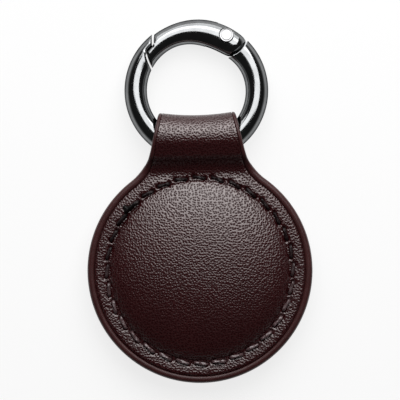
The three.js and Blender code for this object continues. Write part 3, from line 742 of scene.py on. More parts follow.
def seam_course(form, phase, side, lift, outwards):
    """Line of the seam: each stitch crosses the circle at a slant, dips into the hole at each end and passes
    under the leather to the next."""
    sizes = form.sizes
    part = phase - np.floor(phase)
    turn = sizes.stitch_start + phase * 2 * np.pi / sizes.stitches
    level = form.rim - sizes.groove_depth + sizes.thread / 2 + lift
    under = sizes.thickness * (1 - form.shown(part, STITCH_SOFT))
    height = level + STITCH_ARCH * np.sin(np.pi * part) - under
    radius = sizes.stitch_radius + outwards + form.slant(part)
    x, y = radius * np.sin(turn), radius * np.cos(turn)
    return np.stack([x, y, MID_Z + side * (height + form.neck_swell(x, y))], axis=-1)


def seam(form, side):
    """Thread of one face of the seam, all the way round. It is drawn in most at the neck."""
    sizes = form.sizes
    phase = np.arange(sizes.stitches * STITCH_STEPS) / STITCH_STEPS
    turn = sizes.stitch_start + phase * 2 * np.pi / sizes.stitches
    path = seam_course(form, phase, side, -(STITCH_SINK + STITCH_LEAN * np.cos(turn)), 0.0)
    normal = np.tile([0.0, 0.0, float(side)], (len(path), 1))
    shell = Shell()
    ply_tube(shell, path, normal, sizes.thread / 2, closed=True)
    return shell


def knot_place(form):
    """Middle of the knot, just outside the start of the seam."""
    turn = form.sizes.stitch_start + KNOT_PLACE * 2 * np.pi / form.sizes.stitches
    out = form.sizes.stitch_radius + KNOT_OUT
    return np.array([out * np.sin(turn), out * np.cos(turn), MID_Z + form.rim + KNOT_LIFT])


def mark_hide(form, mesh):
    """Gives each point its place on the hide before it was folded: its distance across, and its distance
    along the fold's side view, which is that of the nearest sample plus the step from there along the
    profile."""
    x, y, z = places(mesh).T
    along = form.fold.along[:: form.fold.STRIDE]
    profile_y, profile_z, normal_y, normal_z = form.fold.at(along)
    ahead = y[:, None] - profile_y
    above = z[:, None] - MID_Z - profile_z
    near = (ahead**2 + above**2).argmin(axis=1)
    row = np.arange(len(near))
    step = ahead[row, near] * normal_z[near] - above[row, near] * normal_y[near]
    flat = np.stack([x, along[near] + step, np.zeros(x.shape)], axis=-1)
    mesh.attributes.new("hide", "FLOAT_VECTOR", "POINT").data.foreach_set("vector", flat.ravel())


def mark_thread(form, mesh):
    """Gives each point two shares: the melted wax, which is 1 on the knot and fades to 0 a little way off,
    and the painted highlight, which grows from the neck towards the far end of the disc."""
    spots = places(mesh)
    away = np.linalg.norm(spots - knot_place(form), axis=1)
    wax = ease(WAX_REACH - away / KNOT_RADIUS)
    # Painted highlight: the second share rises towards the far end of the disc, where the stitches catch the
    # light.
    rub = ease((PAINTED_SHEEN_START - spots[:, 1]) / PAINTED_SHEEN_REACH)
    for name, values in (("wax", wax), ("rub", rub)):
        mesh.attributes.new(name, "FLOAT", "POINT").data.foreach_set("value", values)


def seam_knot(form, shell):
    """Back tack at the start of the seam: two stitches sewn over again, and the melted end of the thread."""
    phase = np.linspace(TACK_START, TACK_STOP, TACK_STEPS)
    path = seam_course(form, phase, 1, TACK_LIFT, TACK_OUT)
    to_end = np.minimum(phase - TACK_START, TACK_STOP - phase)
    radius = form.sizes.thread / 2 * np.minimum(1, TACK_TIP + TACK_TAPER * to_end)
    ply_tube(shell, path, np.tile([0.0, 0.0, 1.0], (len(path), 1)), radius, closed=False)
    polar, spin = np.meshgrid(np.linspace(0, np.pi, KNOT_ROWS), full_turn(KNOT_TURNS), indexing="ij")
    uneven = KNOT_LUMP * np.sin(KNOT_LUMPS * spin + 1.0) * np.sin(polar)
    lump = KNOT_RADIUS * (1 + uneven + KNOT_WAIST * np.cos(2 * polar))
    ball = np.stack([np.sin(polar) * np.cos(spin), np.sin(polar) * np.sin(spin), np.cos(polar)], axis=-1)
    shell.quads(shell.add(knot_place(form) + lump[..., None] * KNOT_SHAPE * ball), wrap_columns=True)


# The foam lens: its shoulder as a share of its height, the power of its crown, and its points.
FOAM_SHOULDER = 0.3
FOAM_POWER = 1.2
FOAM_ROWS = 16
FOAM_ROUND_ROWS = 5
FOAM_TURNS = 96


def foam_lens():
    """Foam lens between the tag and the front panel: a swollen top, a soft shoulder and a flat underside."""
    low, high = (np.array(corner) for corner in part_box("foam_pad"))
    radius, rise = (high[0] - low[0]) / 2, high[2] - low[2]
    shoulder = FOAM_SHOULDER * rise
    turn = np.linspace(0, np.pi / 2, FOAM_ROWS + 1)[1:]
    top_z = shoulder + (rise - shoulder) * np.maximum(np.cos(turn), 0) ** FOAM_POWER
    round_off = np.linspace(0, np.pi / 2, FOAM_ROUND_ROWS + 1)[1:]
    low_r = radius - shoulder * (1 - np.cos(round_off))
    low_z = shoulder * (1 - np.sin(round_off))
    radii = np.concatenate([radius * np.sin(turn), low_r])[:, None]
    heights = (np.concatenate([top_z, low_z]) + low[2])[:, None]
    spin = full_turn(FOAM_TURNS)
    points = [radii * np.cos(spin), radii * np.sin(spin), heights * np.ones(spin.shape)]
    shell = Shell()
    ids = shell.add(np.stack(points, axis=-1))
    shell.quads(ids, wrap_columns=True)
    for ring, height in ((ids[0], high[2]), (ids[-1], low[2])):
        shell.fan(shell.add(np.array([[0, 0, height]])), ring)
    return shell


class RingForm:
    """The shared shape of the ring, in its own plane. Angles run clockwise from the far end."""

    GATE_LAP = np.array([-34.5, -42, -52, -61.5]) * DEGREE
    BODY_LAP = np.array([-37.0, -43.6, -53.2, -64.5]) * DEGREE
    DOME_REACH = 1.5 * MM
    END_DOME = 0.72
    END_ROUND = 0.5 * MM
    END_DROP = 0.45
    ROUND_STOPS = np.array([0.04, 0.1, 0.2, 0.35, 0.55, 0.8])
    OUTER_COLUMNS = 14
    INNER_COLUMNS = 16
    BODY_ROWS, BODY_LIP_ROWS = 180, 10
    GATE_ROWS, GATE_LIP_ROWS = 80, 14
    GATE_CROWD = 1.6
    SEAT_GUESS, KNUCKLE_GUESS = 50 * DEGREE, 45 * DEGREE
    SETTLE_ROUNDS = 8
    STEP_FADE = 4
    SET_START, SET_REACH = 12 * DEGREE, 45 * DEGREE
    PIN_ROOM = 0.1 * MM
    PIN_SIDES, BORE_SIDES, TURNED_SIDES = 48, 24, 64
    # The tongue's plan from the pin, along the gate and outwards: upper edge, oval nose and lower edge.
    TONGUE_UPPER = np.array([[-6.0, 0.0], [-3.4, 0.9]]) * MM
    TONGUE_LOWER = np.array([[-3.4, -2.9], [-6.0, -3.4]]) * MM
    TONGUE_NOSE = np.array([1.5, 1.3]) * MM
    NOSE_TURN = np.linspace(75, -120, 16) * DEGREE
    # The rivet's head from its middle: share of its radius, and drop from its top in millimetres.
    RIVET_FACE = (
        (0.4, -0.02), (0.68, -0.01), (0.71, 0.03), (0.72, 0.25), (0.79, 0.25),
        (0.8, 0.05), (0.9, 0.04), (0.96, 0.12), (1.0, 0.25),
    )

    def __init__(self, sizes):
        self.sizes = sizes
        self.outer = sizes.bore / 2 + sizes.wire
        self.pin_radius = self.outer - sizes.pin_depth
        self.pin_plan = self.pin_radius * np.array([np.sin(sizes.pin_angle), np.cos(sizes.pin_angle)])
        self.centre = PIN - self.pin_plan[0] * RING_ACROSS - self.pin_plan[1] * RING_ALONG
        self.gate_way = np.array([-np.cos(sizes.pin_angle), np.sin(sizes.pin_angle)])
        self.out_way = np.array([np.sin(sizes.pin_angle), np.cos(sizes.pin_angle)])

    def world(self, points):
        """Points of the ring's own plane and height as points of the frame."""
        axes = np.stack([RING_ACROSS, RING_ALONG, RING_UP])
        return self.centre + points @ axes

    def section(self, turn, spin, set_in):
        """Radius and height of the stock: an oval between the outer circle and an inner edge that swells at
        the hinge as a bell curve. The gate's outer edge may ease inwards towards its free end."""
        sizes = self.sizes
        bent = np.arctan2(np.sin(turn), np.cos(turn))
        bell = np.exp(-(((bent - sizes.swell_angle) / sizes.swell_spread) ** 2) / 2)
        inner = sizes.bore / 2 - sizes.hinge_swell * bell
        outer = self.outer - set_in * ease((self.SET_START - bent) / self.SET_REACH)
        radius = (outer + inner) / 2 + (outer - inner) / 2 * np.cos(spin)
        return radius, sizes.wire / 2 * np.sin(spin)

    def hinge_cut(self, radius, knuckle):
        """Angle at which a circle about the pin crosses a radius, on the side away from the gate."""
        pin = self.pin_radius
        cosine = (radius**2 + pin**2 - knuckle**2) / (2 * radius * pin)
        return self.sizes.pin_angle + np.arccos(np.clip(cosine, -1, 1))

    def settle(self, cut, guess, spin, set_in):
        """Angle at which each line of the stock meets a cut given by radius, by repeated substitution."""
        turn = np.full(spin.shape, guess)
        for _ in range(self.SETTLE_ROUNDS):
            turn = cut(self.section(turn, spin, set_in)[0])
        return turn

    def columns(self, step, set_in):
        """Lines round the upper half of the section, with one on the step of the lap."""
        low = self.BODY_LAP[2]
        edges = [self.section(low, np.array(spin), set_in)[0] for spin in (0.0, np.pi)]
        share = (2 * step - edges[0] - edges[1]) / (edges[0] - edges[1])
        corner = np.arccos(share)
        outside = np.linspace(0, corner, self.OUTER_COLUMNS + 1)
        inside = np.linspace(corner, np.pi, self.INNER_COLUMNS + 1)
        return np.concatenate([outside, inside[1:]])

    def fall(self, distance, reach, drop):
        """Share of the height that is left near an edge: a quarter oval that falls over the reach."""
        return np.sqrt(1 - drop * np.clip(1 - distance / reach, 0, 1) ** 2)

    def stock(self, spin, start, stop, rows, set_in, ends, crowd=1.0, dome=0.0, step=None):
        """Grid of the stock's upper half between two angles that differ from line to line. Rows crowd towards
        the stop, where the lines marked in ends are rounded off, and may crowd towards the start, where the
        height may fall to a domed end. A step is a radius along which the stock is rounded too, away from its
        first row."""
        span = np.abs(stop - start).mean() * self.outer
        near = 1 - self.ROUND_STOPS * self.END_ROUND / span
        share = np.union1d(np.linspace(0, 1, rows + 1) ** crowd, near)[:, None]
        turn = start + (stop - start) * share
        radius, height = self.section(turn, np.broadcast_to(spin, turn.shape), set_in)
        height = height * self.fall(np.abs(turn - start) * radius, self.DOME_REACH, dome)
        height = height * self.fall(np.abs(stop - turn) * radius, self.END_ROUND, self.END_DROP * ends)
        if step:
            drop = self.END_DROP * ease(self.STEP_FADE * share)
            height = height * self.fall(np.abs(radius - step), self.END_ROUND, drop)
        return np.stack([radius * np.sin(turn), radius * np.cos(turn), height], axis=-1)

    def closed(self, grids, chains):
        """Upper grids, their mirror images and upright walls between the two along each chain of points.
        grids are point arrays, and a chain is a list of slices of them."""
        shell = Shell()
        flip = np.array([1.0, 1.0, -1.0])
        upper = [shell.add(self.world(grid)) for grid in grids]
        lower = [shell.add(self.world(grid * flip)) for grid in grids]
        for ids in upper + lower:
            shell.quads(ids)
        for chain in chains:
            wall = [np.concatenate([ids[number][part] for number, part in chain]) for ids in (upper, lower)]
            shell.quads(np.stack(wall))
        return shell

    def body(self):
        """Fixed part of the ring: from the round seat at the hinge to the lap, whose outer lip runs on."""
        sizes = self.sizes
        step = sizes.lap_radius + sizes.lap_gap / 2
        rim, high, low, bore = self.BODY_LAP + 2 * np.pi
        spin = self.columns(step, 0.0)
        edge = self.OUTER_COLUMNS
        hollow = sizes.knuckle + sizes.knuckle_gap
        seat = self.settle(lambda r: self.hinge_cut(r, hollow), self.SEAT_GUESS, spin, 0.0)
        inner = self.settle(lambda r: np.interp(r, [sizes.bore / 2, step], [bore, low]), low, spin, 0.0)
        outer = self.settle(lambda r: np.interp(r, [step, self.outer], [high, rim]), high, spin, 0.0)
        inner[: edge + 1] = low
        outer[edge] = high
        inside = np.arange(len(spin)) > edge
        main = self.stock(spin, seat, inner, self.BODY_ROWS, 0.0, inside)
        lines = np.s_[: edge + 1]
        lip = self.stock(spin[lines], inner[lines], outer[lines], self.BODY_LIP_ROWS, 0.0, 1.0, step=step)
        lap = [(1, np.s_[-1, :]), (1, np.s_[::-1, -1]), (0, np.s_[-1, edge:])]
        return self.closed([main, lip], [[(0, np.s_[0, :])], lap])

    def gate(self):
        """Gate: from its round knuckle to the lap, whose inner tongue runs on."""
        sizes = self.sizes
        set_in = sizes.gate_set
        step = sizes.lap_radius - sizes.lap_gap / 2
        rim, high, low, bore = self.GATE_LAP
        spin = self.columns(step, set_in)
        edge = self.OUTER_COLUMNS
        knuckle = self.settle(lambda r: self.hinge_cut(r, sizes.knuckle), self.KNUCKLE_GUESS, spin, set_in)
        outer = self.settle(lambda r: np.interp(r, [step, self.outer], [high, rim]), high, spin, set_in)
        inner = self.settle(lambda r: np.interp(r, [sizes.bore / 2, step], [bore, low]), low, spin, set_in)
        outer[edge:] = high
        inner[edge] = low
        outside = np.arange(len(spin)) < edge
        main = self.stock(
            spin, knuckle, outer, self.GATE_ROWS, set_in, outside, crowd=self.GATE_CROWD, dome=self.END_DOME
        )
        lines = np.s_[edge:]
        lip = self.stock(spin[lines], outer[lines], inner[lines], self.GATE_LIP_ROWS, set_in, 1.0, step=step)
        lap = [(0, np.s_[-1, : edge + 1]), (1, np.s_[:, 0]), (1, np.s_[-1, :])]
        return self.closed([main, lip], [[(0, np.s_[0, :])], lap])

    def by_pin(self, along, outwards):
        """Plan points given from the pin, along the gate and outwards."""
        along, outwards = np.asarray(along)[:, None], np.asarray(outwards)[:, None]
        return self.pin_plan + along * self.gate_way + outwards * self.out_way

    def prism(self, plan, low, high):
        """Upright block over a plan outline."""
        rings = [np.column_stack([plan, np.full(len(plan), height)]) for height in (low, high)]
        return capped(self.world(np.stack(rings)))

    def pin_hole(self):
        """Hole for the pin, right through the ring."""
        spin = full_turn(self.PIN_SIDES)
        radius = self.sizes.pin_diameter / 2 + self.PIN_ROOM
        plan = self.by_pin(radius * np.cos(spin), radius * np.sin(spin))
        return self.prism(plan, -self.sizes.wire, self.sizes.wire)

    def tongue(self):
        """Flat tongue from the ring's seat to a round nose past the rivet."""
        nose = self.TONGUE_NOSE * np.column_stack([np.cos(self.NOSE_TURN), np.sin(self.NOSE_TURN)])
        along, out = np.vstack([self.TONGUE_UPPER, nose, self.TONGUE_LOWER]).T
        half = self.sizes.tongue / 2
        return self.prism(self.by_pin(along, out), -half, half)

    def fork_slot(self):
        """Slot of the fork, open on the ring's side."""
        far, half = 2 * self.sizes.knuckle, self.sizes.tongue / 2 + self.sizes.fork_room
        floor = self.sizes.slot_floor
        plan = self.by_pin([-far, floor, floor, -far], [-far, -far, far, far])
        return self.prism(plan, -half, half)

    def spring_bore(self):
        """Round bore along the gate for its spring and plunger."""
        sizes = self.sizes
        spin = full_turn(self.BORE_SIDES)
        along = np.array([[sizes.slot_floor - sizes.wire / 2], [sizes.bore_depth]]) * np.ones(spin.shape)
        across = sizes.bore_radius * np.cos(spin) - sizes.bore_offset
        height = np.broadcast_to(sizes.bore_radius * np.sin(spin), along.shape)
        lean = sizes.bore_tilt
        ahead = along * np.cos(lean) + across * np.sin(lean)
        out = across * np.cos(lean) - along * np.sin(lean)
        plan = self.by_pin(ahead.ravel(), out.ravel()).reshape(2, -1, 2)
        return capped(self.world(np.concatenate([plan, height[..., None]], axis=-1)))

    def turned(self, profile):
        """Solid turned about the pin's axis from radii and heights, with a flat face at each end."""
        profile = np.asarray(profile)
        spin = full_turn(self.TURNED_SIDES)
        plan = self.pin_plan + profile[:, 0, None, None] * np.stack([np.cos(spin), np.sin(spin)], axis=-1)
        height = np.broadcast_to(profile[:, 1, None, None], plan.shape[:2] + (1,))
        return capped(self.world(np.concatenate([plan, height], axis=-1)))

    def rivet_hole(self):
        """Hole through the fork with a seat for the rivet's head at each end."""
        sizes = self.sizes
        wide, narrow = (size / 2 + self.PIN_ROOM for size in (sizes.rivet_head, sizes.pin_diameter))
        seat, out = sizes.rivet_seat, sizes.wire
        upper = [(wide, out), (wide, seat), (narrow, seat)]
        return self.turned(upper + [(radius, -height) for radius, height in upper[::-1]])

    def rivet(self):
        """Rivet turned about the pin's axis: two flat heads, each with a fine ring round its middle."""
        sizes = self.sizes
        head, top, shank = sizes.rivet_head / 2, sizes.rivet_top, sizes.pin_diameter / 2
        under = sizes.rivet_seat + self.PIN_ROOM
        steps = [(share * head, top - drop * MM) for share, drop in self.RIVET_FACE]
        steps += [(head, under), (shank, under)]
        return self.turned(steps + [(radius, -height) for radius, height in steps[::-1]])


def worked(mesh, cuts, joins=()):
    """A mesh with other shells joined to it and cut out of it, worked in millimetres for its fine edges."""
    mesh.transform(Matrix.Scale(1 / MM, 4))
    blank = bpy.data.objects.new("blank", mesh)
    bpy.context.scene.collection.objects.link(blank)
    tools = []
    for operation, shells in (("UNION", joins), ("DIFFERENCE", cuts)):
        for shell in shells:
            form = shell.mesh("tool")
            form.transform(Matrix.Scale(1 / MM, 4))
            tool = bpy.data.objects.new("tool", form)
            bpy.context.scene.collection.objects.link(tool)
            step = blank.modifiers.new(operation, "BOOLEAN")
            step.operation = operation
            step.solver = "EXACT"
            step.object = tool
            tools.append(tool)
    bpy.context.view_layer.update()
    result = bpy.data.meshes.new_from_object(blank.evaluated_get(bpy.context.evaluated_depsgraph_get()))
    for thing in [blank, *tools]:
        bpy.data.objects.remove(thing)
    result.transform(Matrix.Scale(MM, 4))
    return result


def break_edges(piece, width):
    """Small bevel on the sharp edges of a metal piece."""
    bevel = piece.modifiers.new("broken edges", "BEVEL")
    bevel.width = width
    bevel.segments = 2
    bevel.limit_method = "ANGLE"
    bevel.angle_limit = 45 * DEGREE
    bevel.harden_normals = True


class Finish:
    """A node material, with short calls that add to it."""

    def __init__(self, name):
        self.material = bpy.data.materials.new(name)
        self.material.use_nodes = True
        self.tree = self.material.node_tree
        self.shader = self.tree.nodes["Principled BSDF"]
        self.spot = self.tree.nodes.new("ShaderNodeTexCoord").outputs["Object"]

    def node(self, kind, inputs, **settings):
        """Adds a node, sets its options, and fills or links its inputs."""
        made = self.tree.nodes.new(kind)
        for key, value in settings.items():
            setattr(made, key, value)
        self.fill(made, inputs)
        return made

    def fill(self, node, inputs):
        """Links an input that is given another node's output, and sets one that is given a value."""
        for key, value in inputs.items():
            if isinstance(value, bpy.types.NodeSocket):
                self.tree.links.new(value, node.inputs[key])
            else:
                node.inputs[key].default_value = value

    def surface(self, **inputs):
        """Fills inputs of the surface shader, written with underscores for spaces."""
        self.fill(self.shader, {key.replace("_", " "): value for key, value in inputs.items()})
        return self.material

    def noise(self, size, detail):
        """Noise with features of a given size."""
        inputs = {"Vector": self.spot, "Scale": 1 / size, "Detail": detail}
        return self.node("ShaderNodeTexNoise", inputs).outputs["Fac"]

    def cells(self, size, spot, uneven):
        """Distance to the middle of the nearest flat cell, for cells of a given size and unevenness."""
        inputs = {"Vector": spot, "Scale": 1 / size, "Randomness": uneven}
        return self.node("ShaderNodeTexVoronoi", inputs, voronoi_dimensions="2D").outputs["Distance"]

    def spread(self, value, low, high, to_low, to_high):
        """A value moved smoothly from one range to another."""
        inputs = {"Value": value, "From Min": low, "From Max": high, "To Min": to_low, "To Max": to_high}
        return self.node("ShaderNodeMapRange", inputs).outputs["Result"]

    def sum(self, first, share, second):
        """One value times a share, plus another."""
        inputs = {0: first, 1: share, 2: second}
        return self.node("ShaderNodeMath", inputs, operation="MULTIPLY_ADD").outputs[0]

    def mix(self, factor, first, second):
        """Colour between two, each a colour or another node's output."""
        pair = [c if isinstance(c, bpy.types.NodeSocket) else (*c, 1.0) for c in (first, second)]
        made = self.node("ShaderNodeMix", {0: factor, 6: pair[0], 7: pair[1]}, data_type="RGBA")
        return made.outputs[2]

    def lerp(self, factor, first, second):
        """Number between two, each a number or another node's output."""
        return self.node("ShaderNodeMix", {0: factor, 2: first, 3: second}).outputs[0]

    def bump(self, height, depth, strength):
        """Relief of a given depth."""
        inputs = {"Height": height, "Distance": depth, "Strength": strength}
        return self.node("ShaderNodeBump", inputs).outputs["Normal"]

    def warp(self, spot, size, reach):
        """A place moved about by a soft noise."""
        noise = self.node("ShaderNodeTexNoise", {"Vector": self.spot, "Scale": 1 / size, "Detail": 2.0})
        inputs = {0: noise.outputs["Color"], 1: (0.5, 0.5, 0.5)}
        centred = self.node("ShaderNodeVectorMath", inputs, operation="SUBTRACT").outputs[0]
        inputs = {0: centred, 1: (reach,) * 3, 2: spot}
        return self.node("ShaderNodeVectorMath", inputs, operation="MULTIPLY_ADD").outputs[0]


def grain_leather(colours):
    """Fine grain that follows the hide: small dark pits in warped cells, in a face whose tone drifts."""
    finish = Finish("grain_leather")
    hide = finish.node("ShaderNodeAttribute", {}, attribute_name="hide").outputs["Vector"]
    pit = finish.cells(0.42 * MM, finish.warp(hide, size=0.6 * MM, reach=0.08 * MM), uneven=0.85)
    fine = finish.noise(0.12 * MM, detail=4.0)
    drift = finish.noise(9 * MM, detail=2.0)
    height = finish.sum(finish.spread(pit, 0.05, 0.6, 0.0, 1.0), 0.9, finish.sum(fine, 0.25, 0.0))
    pore = finish.spread(pit, 0.12, 0.46, 1.0, 0.0)
    tone = finish.mix(finish.spread(drift, 0.3, 0.7, 0.0, 0.45), colours.leather, colours.leather_pores)
    return finish.surface(
        Base_Color=finish.mix(pore, tone, colours.leather_pores),
        Roughness=finish.spread(fine, 0.3, 0.7, 0.24, 0.33),
        IOR=1.58,
        Normal=finish.bump(height, depth=0.06 * MM, strength=0.9),
        Specular_IOR_Level=finish.spread(pore, 0.0, 1.0, 0.8, 0.06),
        Specular_Tint=(1.0, 0.95, 0.94, 1.0),
    )


def smooth_edge(colours):
    """Rubbed edge finish: smooth and a little glossy, with soft ripples and rubbed spots."""
    finish = Finish("smooth_edge")
    ripple = finish.noise(1.6 * MM, detail=2.0)
    wear_and_sheen = finish.noise(4 * MM, detail=3.0)
    worn = tuple(1.5 * value for value in colours.edge)
    return finish.surface(
        Base_Color=finish.mix(finish.spread(wear_and_sheen, 0.45, 0.75, 0.0, 0.6), colours.edge, worn),
        Roughness=finish.spread(ripple, 0.3, 0.7, 0.32, 0.42),
        Normal=finish.bump(ripple, depth=0.05 * MM, strength=0.5),
        Specular_IOR_Level=0.26,
    )


def waxed_thread(colours):
    """Waxed fibres: fine streaks, dark, and pale and shiny under a painted highlight towards the far end of
    the disc.
    """
    finish = Finish("waxed_thread")
    fibre = finish.noise(0.07 * MM, detail=4.0)
    wax = finish.node("ShaderNodeAttribute", {}, attribute_name="wax").outputs["Fac"]
    # Painted highlight: the second share marked on the thread makes it paler and shinier towards the far end
    # of the disc.
    rub = finish.node("ShaderNodeAttribute", {}, attribute_name="rub").outputs["Fac"]
    shine = finish.spread(rub, 0.0, 1.0, 0.16, 0.9)
    return finish.surface(
        Base_Color=finish.mix(wax, finish.mix(rub, colours.thread, colours.wear_and_sheen), colours.wax),
        Roughness=finish.spread(fibre, 0.3, 0.7, 0.3, 0.45),
        Normal=finish.bump(fibre, depth=0.03 * MM, strength=0.6),
        Specular_IOR_Level=finish.lerp(wax, shine, 0.12),
    )


def dark_plating(name, tone, rough):
    """Polished plating: a near mirror whose gloss drifts, with faint wear."""
    finish = Finish(name)
    haze = finish.noise(2.2 * MM, detail=4.0)
    wear = finish.noise(0.25 * MM, detail=5.0)
    dull = tuple(0.8 * value for value in tone)
    return finish.surface(
        Base_Color=finish.mix(finish.spread(haze, 0.4, 0.7, 0.0, 1.0), tone, dull),
        Roughness=finish.spread(wear, 0.35, 0.75, rough, rough + 0.06),
        Normal=finish.bump(haze, depth=0.02 * MM, strength=0.12),
        Metallic=1.0,
        # The dark specular tint dims the grazing reflections along the outline: painted shade that stands in
        # for dark surroundings.
        Specular_Tint=(0.12, 0.12, 0.12, 1.0),
    )


def plain_finish(name, tone, rough, metal, size):
    """Finish of a hidden piece: a tone that drifts, with fine relief."""
    finish = Finish(name)
    speck = finish.noise(size, detail=4.0)
    deep = tuple(0.6 * value for value in tone)
    return finish.surface(
        Base_Color=finish.mix(finish.spread(speck, 0.35, 0.7, 0.0, 1.0), tone, deep),
        Roughness=finish.spread(speck, 0.3, 0.7, rough, rough + 0.12),
        Normal=finish.bump(speck, depth=0.1 * size, strength=0.4),
        Metallic=metal,
    )


class FOB_OT_leather(Operator):
    """Fold the leather over the ring and round the tag"""

    bl_idname = "fob.leather"
    bl_label = "Leather"

    def execute(self, context):
        form = FobForm(context.scene.fob_leather)
        skin = LeatherSkin(form).build().mesh("leather_skin", sharp=50 * DEGREE)
        mark_hide(form, skin)
        finish = grain_leather(context.scene.fob_finishes)
        place("leather_skin", skin, finish, "fob", "leather", "leather_wrap")
        return {"FINISHED"}


class FOB_OT_edge_bead(Operator):
    """Run the smooth bead along the edges of the leather"""

    bl_idname = "fob.edge_bead"
    bl_label = "Edge bead"

    def execute(self, context):
        bead = edge_bead(FobForm(context.scene.fob_leather)).mesh("edge_roll", sharp=50 * DEGREE)
        finish = smooth_edge(context.scene.fob_finishes)
        place("edge_roll", bead, finish, "fob", "edge_finish", "edge_bead")
        return {"FINISHED"}


class FOB_OT_stitching(Operator):
    """Sew the round seam, front and back"""

    bl_idname = "fob.stitching"
    bl_label = "Stitching"

    def execute(self, context):
        form = FobForm(context.scene.fob_leather)
        finish = waxed_thread(context.scene.fob_finishes)
        front = seam(form, 1)
        seam_knot(form, front)
        face = front.mesh("front_stitches")
        mark_thread(form, face)
        place("front_stitches", face, finish, "fob", "thread", "needle_thread")
        back = seam(form, -1)
        place("back_stitches", back.mesh("back_stitches"), finish, "fob", "thread", "bobbin_thread")
        return {"FINISHED"}


class FOB_OT_padding(Operator):
    """Lay the foam lens on the tag"""

    bl_idname = "fob.padding"
    bl_label = "Padding"

    def execute(self, context):
        finish = plain_finish("closed_foam", (0.2, 0.2, 0.21), rough=0.85, metal=0.0, size=0.4 * MM)
        piece = place("foam_lens", foam_lens().mesh("foam_lens"), finish, "fob", "foam", "foam_pad")
        return {"FINISHED"}


class FOB_OT_ring(Operator):
    """Make the ring, its gate and the rivet between them"""

    bl_idname = "fob.ring"
    bl_label = "Ring and gate"

    def execute(self, context):
        form = RingForm(context.scene.fob_ring)
        colours = context.scene.fob_finishes
        plating = dark_plating("dark_plating", colours.gunmetal, rough=0.09)
        body = worked(form.body().mesh("ring_stock"), [form.pin_hole()], [form.tongue()])
        body_piece = place("ring_stock", body, plating, "ring", "gunmetal", "ring_body")
        cuts = [form.fork_slot(), form.rivet_hole(), form.spring_bore()]
        gate = worked(form.gate().mesh("gate_stock"), cuts)
        gate_piece = place("gate_stock", gate, plating, "gate", "gunmetal", "ring_gate")
        for piece in (body_piece, gate_piece):
            break_edges(piece, width=0.1 * MM)
        plating = dark_plating("rivet_plating", colours.rivet, rough=0.12)
        rivet = form.rivet().mesh("rivet", sharp=30 * DEGREE)
        place("rivet", rivet, plating, "ring", "rivet_metal", "hinge_rivet")
        return {"FINISHED"}


class FOB_OT_inside(Operator):
    """Finish the pieces inside the pocket and the gate"""

    bl_idname = "fob.inside"
    bl_label = "Inside pieces"

    # Name, colour, roughness, metal and size of the specks of each finish.
    FINISHES = {
        "cement_film": ("dried_cement", (0.62, 0.52, 0.34), 0.6, 0.0, 0.8 * MM),
        "tag_cover": ("tag_shell", (0.03, 0.03, 0.034), 0.42, 0.0, 0.15 * MM),
        "tag_base": ("tag_cup", (0.03, 0.03, 0.034), 0.42, 0.0, 0.15 * MM),
        "antenna_coil": ("coil_wire", (0.62, 0.3, 0.13), 0.3, 0.9, 0.1 * MM),
        "chip_board": ("board", (0.03, 0.16, 0.08), 0.4, 0.0, 0.3 * MM),
        "tag_chip": ("potting", (0.012, 0.012, 0.013), 0.3, 0.0, 0.4 * MM),
        "gate_spring": ("spring_wire", (0.55, 0.56, 0.58), 0.22, 1.0, 0.1 * MM),
        "spring_plunger": ("plunger_steel", (0.5, 0.51, 0.53), 0.26, 1.0, 0.12 * MM),
    }

    def execute(self, context):
        for node, look in self.FINISHES.items():
            slot = frame["nodes"][node].material_slots[0]
            slot.link = "OBJECT"
            slot.material = plain_finish(*look)
        return {"FINISHED"}


FLOOR_SHADE = 0.985
FLOOR_GLOW = 0.8


def floor_finish(tone):
    """Pale floor: mostly its own even white to the eye and in reflections, with the shadow still in it."""
    finish = Finish("pale_floor")
    speck = finish.noise(12 * MM, detail=2.0)
    shade = tuple(FLOOR_SHADE * value for value in tone)
    finish.surface(Base_Color=finish.mix(speck, tone, shade), Roughness=0.9, Specular_IOR_Level=0.1)
    path = finish.node("ShaderNodeLightPath", {})
    seen = path.outputs["Is Camera Ray"]
    for ray in ("Is Glossy Ray", "Is Transmission Ray"):
        seen = finish.node("ShaderNodeMath", {0: seen, 1: path.outputs[ray]}, operation="MAXIMUM").outputs[0]
    share = finish.node("ShaderNodeMath", {0: seen, 1: FLOOR_GLOW}, operation="MULTIPLY").outputs[0]
    glow = finish.node("ShaderNodeEmission", {"Color": (1.0, 1.0, 1.0, 1.0), "Strength": 1.0})
    mixed = finish.node("ShaderNodeMixShader", {0: share, 1: finish.shader.outputs[0], 2: glow.outputs[0]})
    finish.tree.links.new(mixed.outputs[0], finish.tree.nodes["Material Output"].inputs["Surface"])
    return finish.material


def studio_world():
    """Even dim room that brightens towards the horizon."""
    world = bpy.data.worlds.new("studio")
    world.use_nodes = True
    tree = world.node_tree
    coordinates = tree.nodes.new("ShaderNodeTexCoord")
    split = tree.nodes.new("ShaderNodeSeparateXYZ")
    tree.links.new(coordinates.outputs["Generated"], split.inputs[0])
    fall = tree.nodes.new("ShaderNodeMapRange")
    tree.links.new(split.outputs["Z"], fall.inputs["Value"])
    for key, value in (("From Min", 0.0), ("From Max", 0.3), ("To Min", 0.5), ("To Max", 0.03)):
        fall.inputs[key].default_value = value
    tree.links.new(fall.outputs["Result"], tree.nodes["Background"].inputs["Strength"])
    tree.nodes["Background"].inputs["Color"].default_value = (1.0, 1.0, 1.0, 1.0)
    return world


